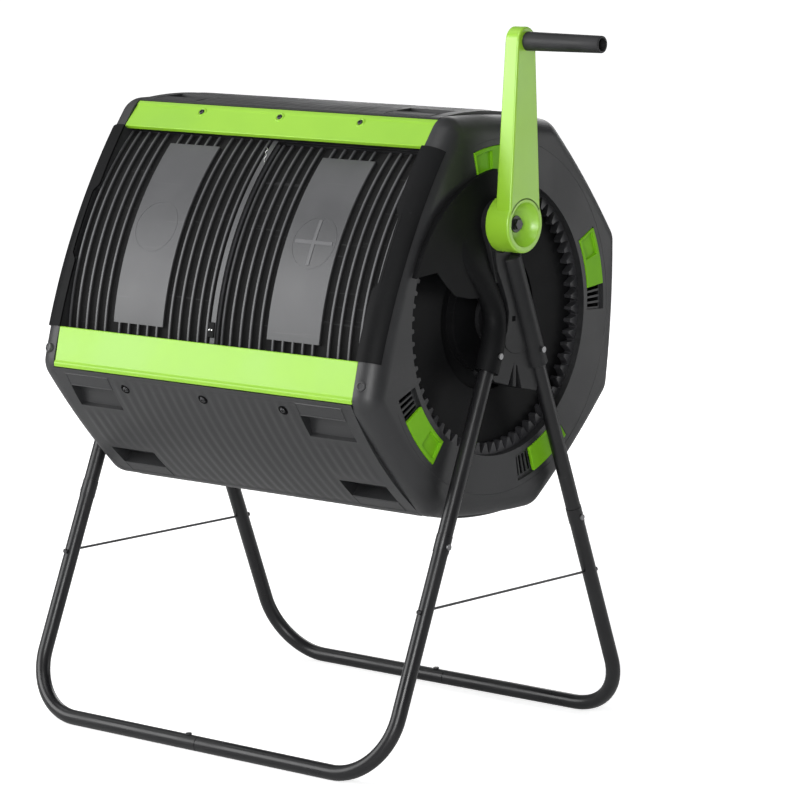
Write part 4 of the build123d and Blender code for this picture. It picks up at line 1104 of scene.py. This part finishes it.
def buildBolt(start):
    washer, ease, stop = boltSet["washer"], boltSet["ease"], start + boltSet["thick"]
    bm = lathe([(start, boltSet["middle"]), (start, washer - ease), (start + ease, washer), (stop - ease, washer),
                (stop, washer - ease), (stop, boltSet["middle"])], 36)
    foot = stop - boltSet["sunk"]
    prismX(bm, arcPoints((0, 0), boltSet["head"], 0, 300, 5), foot, foot + boltSet["height"])
    return bm


makePiece("crankBolt", buildBolt(crankSet["front"] - crankSet["dishDepth"]), "steel", "crank_screw",
          place=shift(0, crankAt.y, crankAt.z), hard=30, seal=True, soft=boltSet["soft"])
print("crank made")

# small screws: a domed head with a six-sided drive, in a shallow moulded cup
screwSet = {
    "head": 0.0048, "rise": 0.0022, "drive": 0.0022, "crown": 1.25, "sink": 0.0014, "base": 0.0002, "root": 0.001,
    "cupOuter": 0.0088, "cupInner": 0.0064, "cupRise": 0.0011, "rowX": (-0.172, 0.0, 0.172), "panelFace": 5,
    "panelT": 0.104, "stripInset": 0.016, "stripLift": 0.0006,
}


def buildScrew():
    head, rise, base, flat = pick(screwSet, "head rise base drive")
    flat *= screwSet["crown"]
    profile = [(base - screwSet["root"], head)]
    profile += [(base + rise * sin(a), flat + (head - flat) * cos(a))
                for a in [radians(18 * i) for i in range(6)]]
    bm = lathe(profile, 24)
    rim = [edge for edge in openEdges(bm) if edge.verts[0].co.x > base + rise * 0.9]
    drive = ringEdges(bm, screwSet["drive"], 6, shift(base + rise, 0, 0) @ Matrix.Rotation(pi / 2, 4, "Y"))
    bmesh.ops.bridge_loops(bm, edges=rim + drive)
    verts, floor = pullEdges(bm, drive)
    move(bm, verts, -screwSet["sink"], 0, 0)
    bmesh.ops.edgeloop_fill(bm, edges=floor)
    return bm


def buildCup():
    outer, inner, rise = pick(screwSet, "cupOuter cupInner cupRise")
    return lathe([(-0.0012, outer + 0.001), (rise * 0.6, outer - 0.0004), (rise, outer - 0.0012),
                  (rise, inner + 0.0004), (rise * 0.7, inner), (0.0001, inner - 0.0008), (0.0001, 0.001)], 36)


def makeScrewRow(name, node, spots, way, slotName, look):
    heads, cups = bmesh.new(), bmesh.new()
    for spot in spots:
        joinMesh(heads, buildScrew(), aim(spot, way))
        joinMesh(cups, buildCup(), aim(spot, way))
    makePiece(name + "Heads", heads, "steel", node, hard=35, seal=True)
    makePiece(name + "Cups", cups, look, on=("drum", slotName), hard=40, seal=True)


panelPlace = drumPlace @ turnX(screwSet["panelFace"] * 45 - 90)
tilt = asin(screwSet["panelT"] / panelSet["crown"])
level = panelSet["apothem"] - panelSet["crown"] + panelSet["crown"] * cos(tilt)
panelWay = panelPlace.to_3x3() @ Vector((0, sin(tilt), cos(tilt)))
panelSpots = [panelPlace @ Vector((x, screwSet["panelT"], level)) for x in screwSet["rowX"]]
# the panel screw cups are coloured near black: painted shade in the cups
makeScrewRow("panelScrew", "panel_screws", panelSpots, panelWay, "shell_plastic", "pitShade")
outline = stripOutline(1)
edge, end = outline[1], outline[3 + stripSet["beadSteps"]]
slope = (end - edge).normalized()
proud = Vector((-slope.y, slope.x))
mid = end - slope * screwSet["stripInset"] + proud * screwSet["stripLift"]
stripSpots = [doorPlace @ Vector((x, *mid)) for x in screwSet["rowX"]]
stripWay = doorPlace.to_3x3() @ Vector((0, *proud))
makeScrewRow("stripScrew", "strip_screws", stripSpots, stripWay, "lime_plastic", "lime")

# a round plug low on the front corner of each end cap
plugSet = {
    "spot": (0.33919, -0.31622, 0.63468), "way": (0.241, -0.94, 0.242),
    "profile": [
        (-0.004, 0.0078), (0.0034, 0.0076), (0.0044, 0.0066), (0.0046, 0.005), (0.0031, 0.0043), (0.0031, 0.0002),
    ],
}
for side, flip in sides:
    makePiece("capPlug_" + side, lathe(plugSet["profile"], 40), "bush", on=("drum", "bush_plastic"),
              place=flip @ aim(plugSet["spot"], plugSet["way"]), hard=35, seal=True)
print("screws made")

# stage: pale floor, white world, soft studio lamps given as power, size, spot and target
stageSet = {
    "floor": 40.0, "floorColour": (0.86, 0.86, 0.86, 1), "glow": (0.6, 0.95), "glowReach": (0.9, 4.5), "world": 0.2,
    "worldColour": (0.97, 0.985, 1, 1), "white": (1, 1, 1, 1),
    "lamps": {
        "keySoftbox": (108.0, (2.6, 2.3), (-2.7, -2.9, 1.75), (0, 0, 0.75)),
        "upperSoftbox": (13.0, (1.8, 1.6), (-2.6, -0.3, 3.7), (0, 0, 0.9)),
        "topSoftbox": (28.0, (2.4, 1.6), (0.3, -1.9, 3.5), (0, 0, 0.7)),
        "fillSoftbox": (118.0, (1.6, 1.6), (2.6, -4.0, 1.7), (0.3, 0, 0.8)),
        "rearSoftbox": (75.0, (3.0, 2.2), (-1.6, 4.4, 2.4), (0, 0, 0.7)),
        "backSoftbox": (9.0, (1.1, 1.5), (1.9, 2.2, 0.85), (0.3, 0.1, 0.75)),
    },
}


def makeFloor():
    material, tree = startMaterial("paleFloor")
    reach = lengthNode(tree, addNode(tree, "TexCoord").outputs["Object"])
    away = rangeNode(tree, reach, *stageSet["glowReach"], *stageSet["glow"])
    strength = mathNode(tree, "MULTIPLY", addNode(tree, "LightPath").outputs["Is Camera Ray"], away)
    diffuse = addNode(tree, "BsdfDiffuse", Color=stageSet["floorColour"])
    glow = addNode(tree, "Emission", Color=stageSet["white"], Strength=strength)
    both = addNode(tree, "AddShader", diffuse.outputs["BSDF"], glow.outputs["Emission"])
    addNode(tree, "OutputMaterial", Surface=both.outputs["Shader"])
    bm = bmesh.new()
    bmesh.ops.create_grid(bm, x_segments=4, y_segments=4, size=stageSet["floor"])
    floor = addMesh("floorSheet", bm, material)


def makeWorld():
    world = bpy.data.worlds.new("studio")
    bpy.context.scene.world = world
    world.use_nodes = True
    tree = world.node_tree
    tree.nodes.clear()
    path = addNode(tree, "LightPath").outputs
    seen = mathNode(tree, "MAXIMUM", path["Is Camera Ray"], path["Is Transmission Ray"])
    soft = addNode(tree, "Background", Color=stageSet["worldColour"], Strength=stageSet["world"])
    white = addNode(tree, "Background", Color=stageSet["white"], Strength=1.0)
    pick = addNode(tree, "MixShader", seen, soft.outputs["Background"], white.outputs["Background"])
    addNode(tree, "OutputWorld", Surface=pick.outputs["Shader"])


def addLamp(name, power, size, spot, target):
    lamp = bpy.data.lights.new(name, "AREA")
    lamp.energy = power
    lamp.shape = "RECTANGLE"
    lamp.size, lamp.size_y = size
    holder = addObject(name, lamp)
    holder.location = spot
    holder.rotation_mode = "QUATERNION"
    holder.rotation_quaternion = (Vector(target) - Vector(spot)).to_track_quat("-Z", "Y")


makeFloor()
makeWorld()
for name, values in stageSet["lamps"].items():
    addLamp(name, *values)

# camera where the photograph was taken from, its angles in radians
cameraSet = {"spot": (3.9611, -4.6244, 1.4588), "yaw": 0.68842, "pitch": 0.14905, "roll": 0.0050952,
             "lens": 165.09, "sensor": 36.0, "far": 60}


def buildCamera():
    yaw, pitch, roll = pick(cameraSet, "yaw pitch roll")
    ahead = Vector((-sin(yaw) * cos(pitch), cos(yaw) * cos(pitch), -sin(pitch)))
    right = Vector((cos(yaw), sin(yaw), 0))
    up = right.cross(ahead)
    across = right * cos(roll) + up * sin(roll)
    over = up * cos(roll) - right * sin(roll)
    data = bpy.data.cameras.new("photoCamera")
    data.lens = cameraSet["lens"]
    data.sensor_width = cameraSet["sensor"]
    data.clip_end = cameraSet["far"]
    camera = addObject("photoCamera", data)
    camera.matrix_world = shift(*cameraSet["spot"]) @ Matrix((across, over, -ahead)).transposed().to_4x4()
    bpy.context.scene.camera = camera


buildCamera()
bpy.context.scene.view_settings.view_transform = "Standard"
print("stage and camera set")
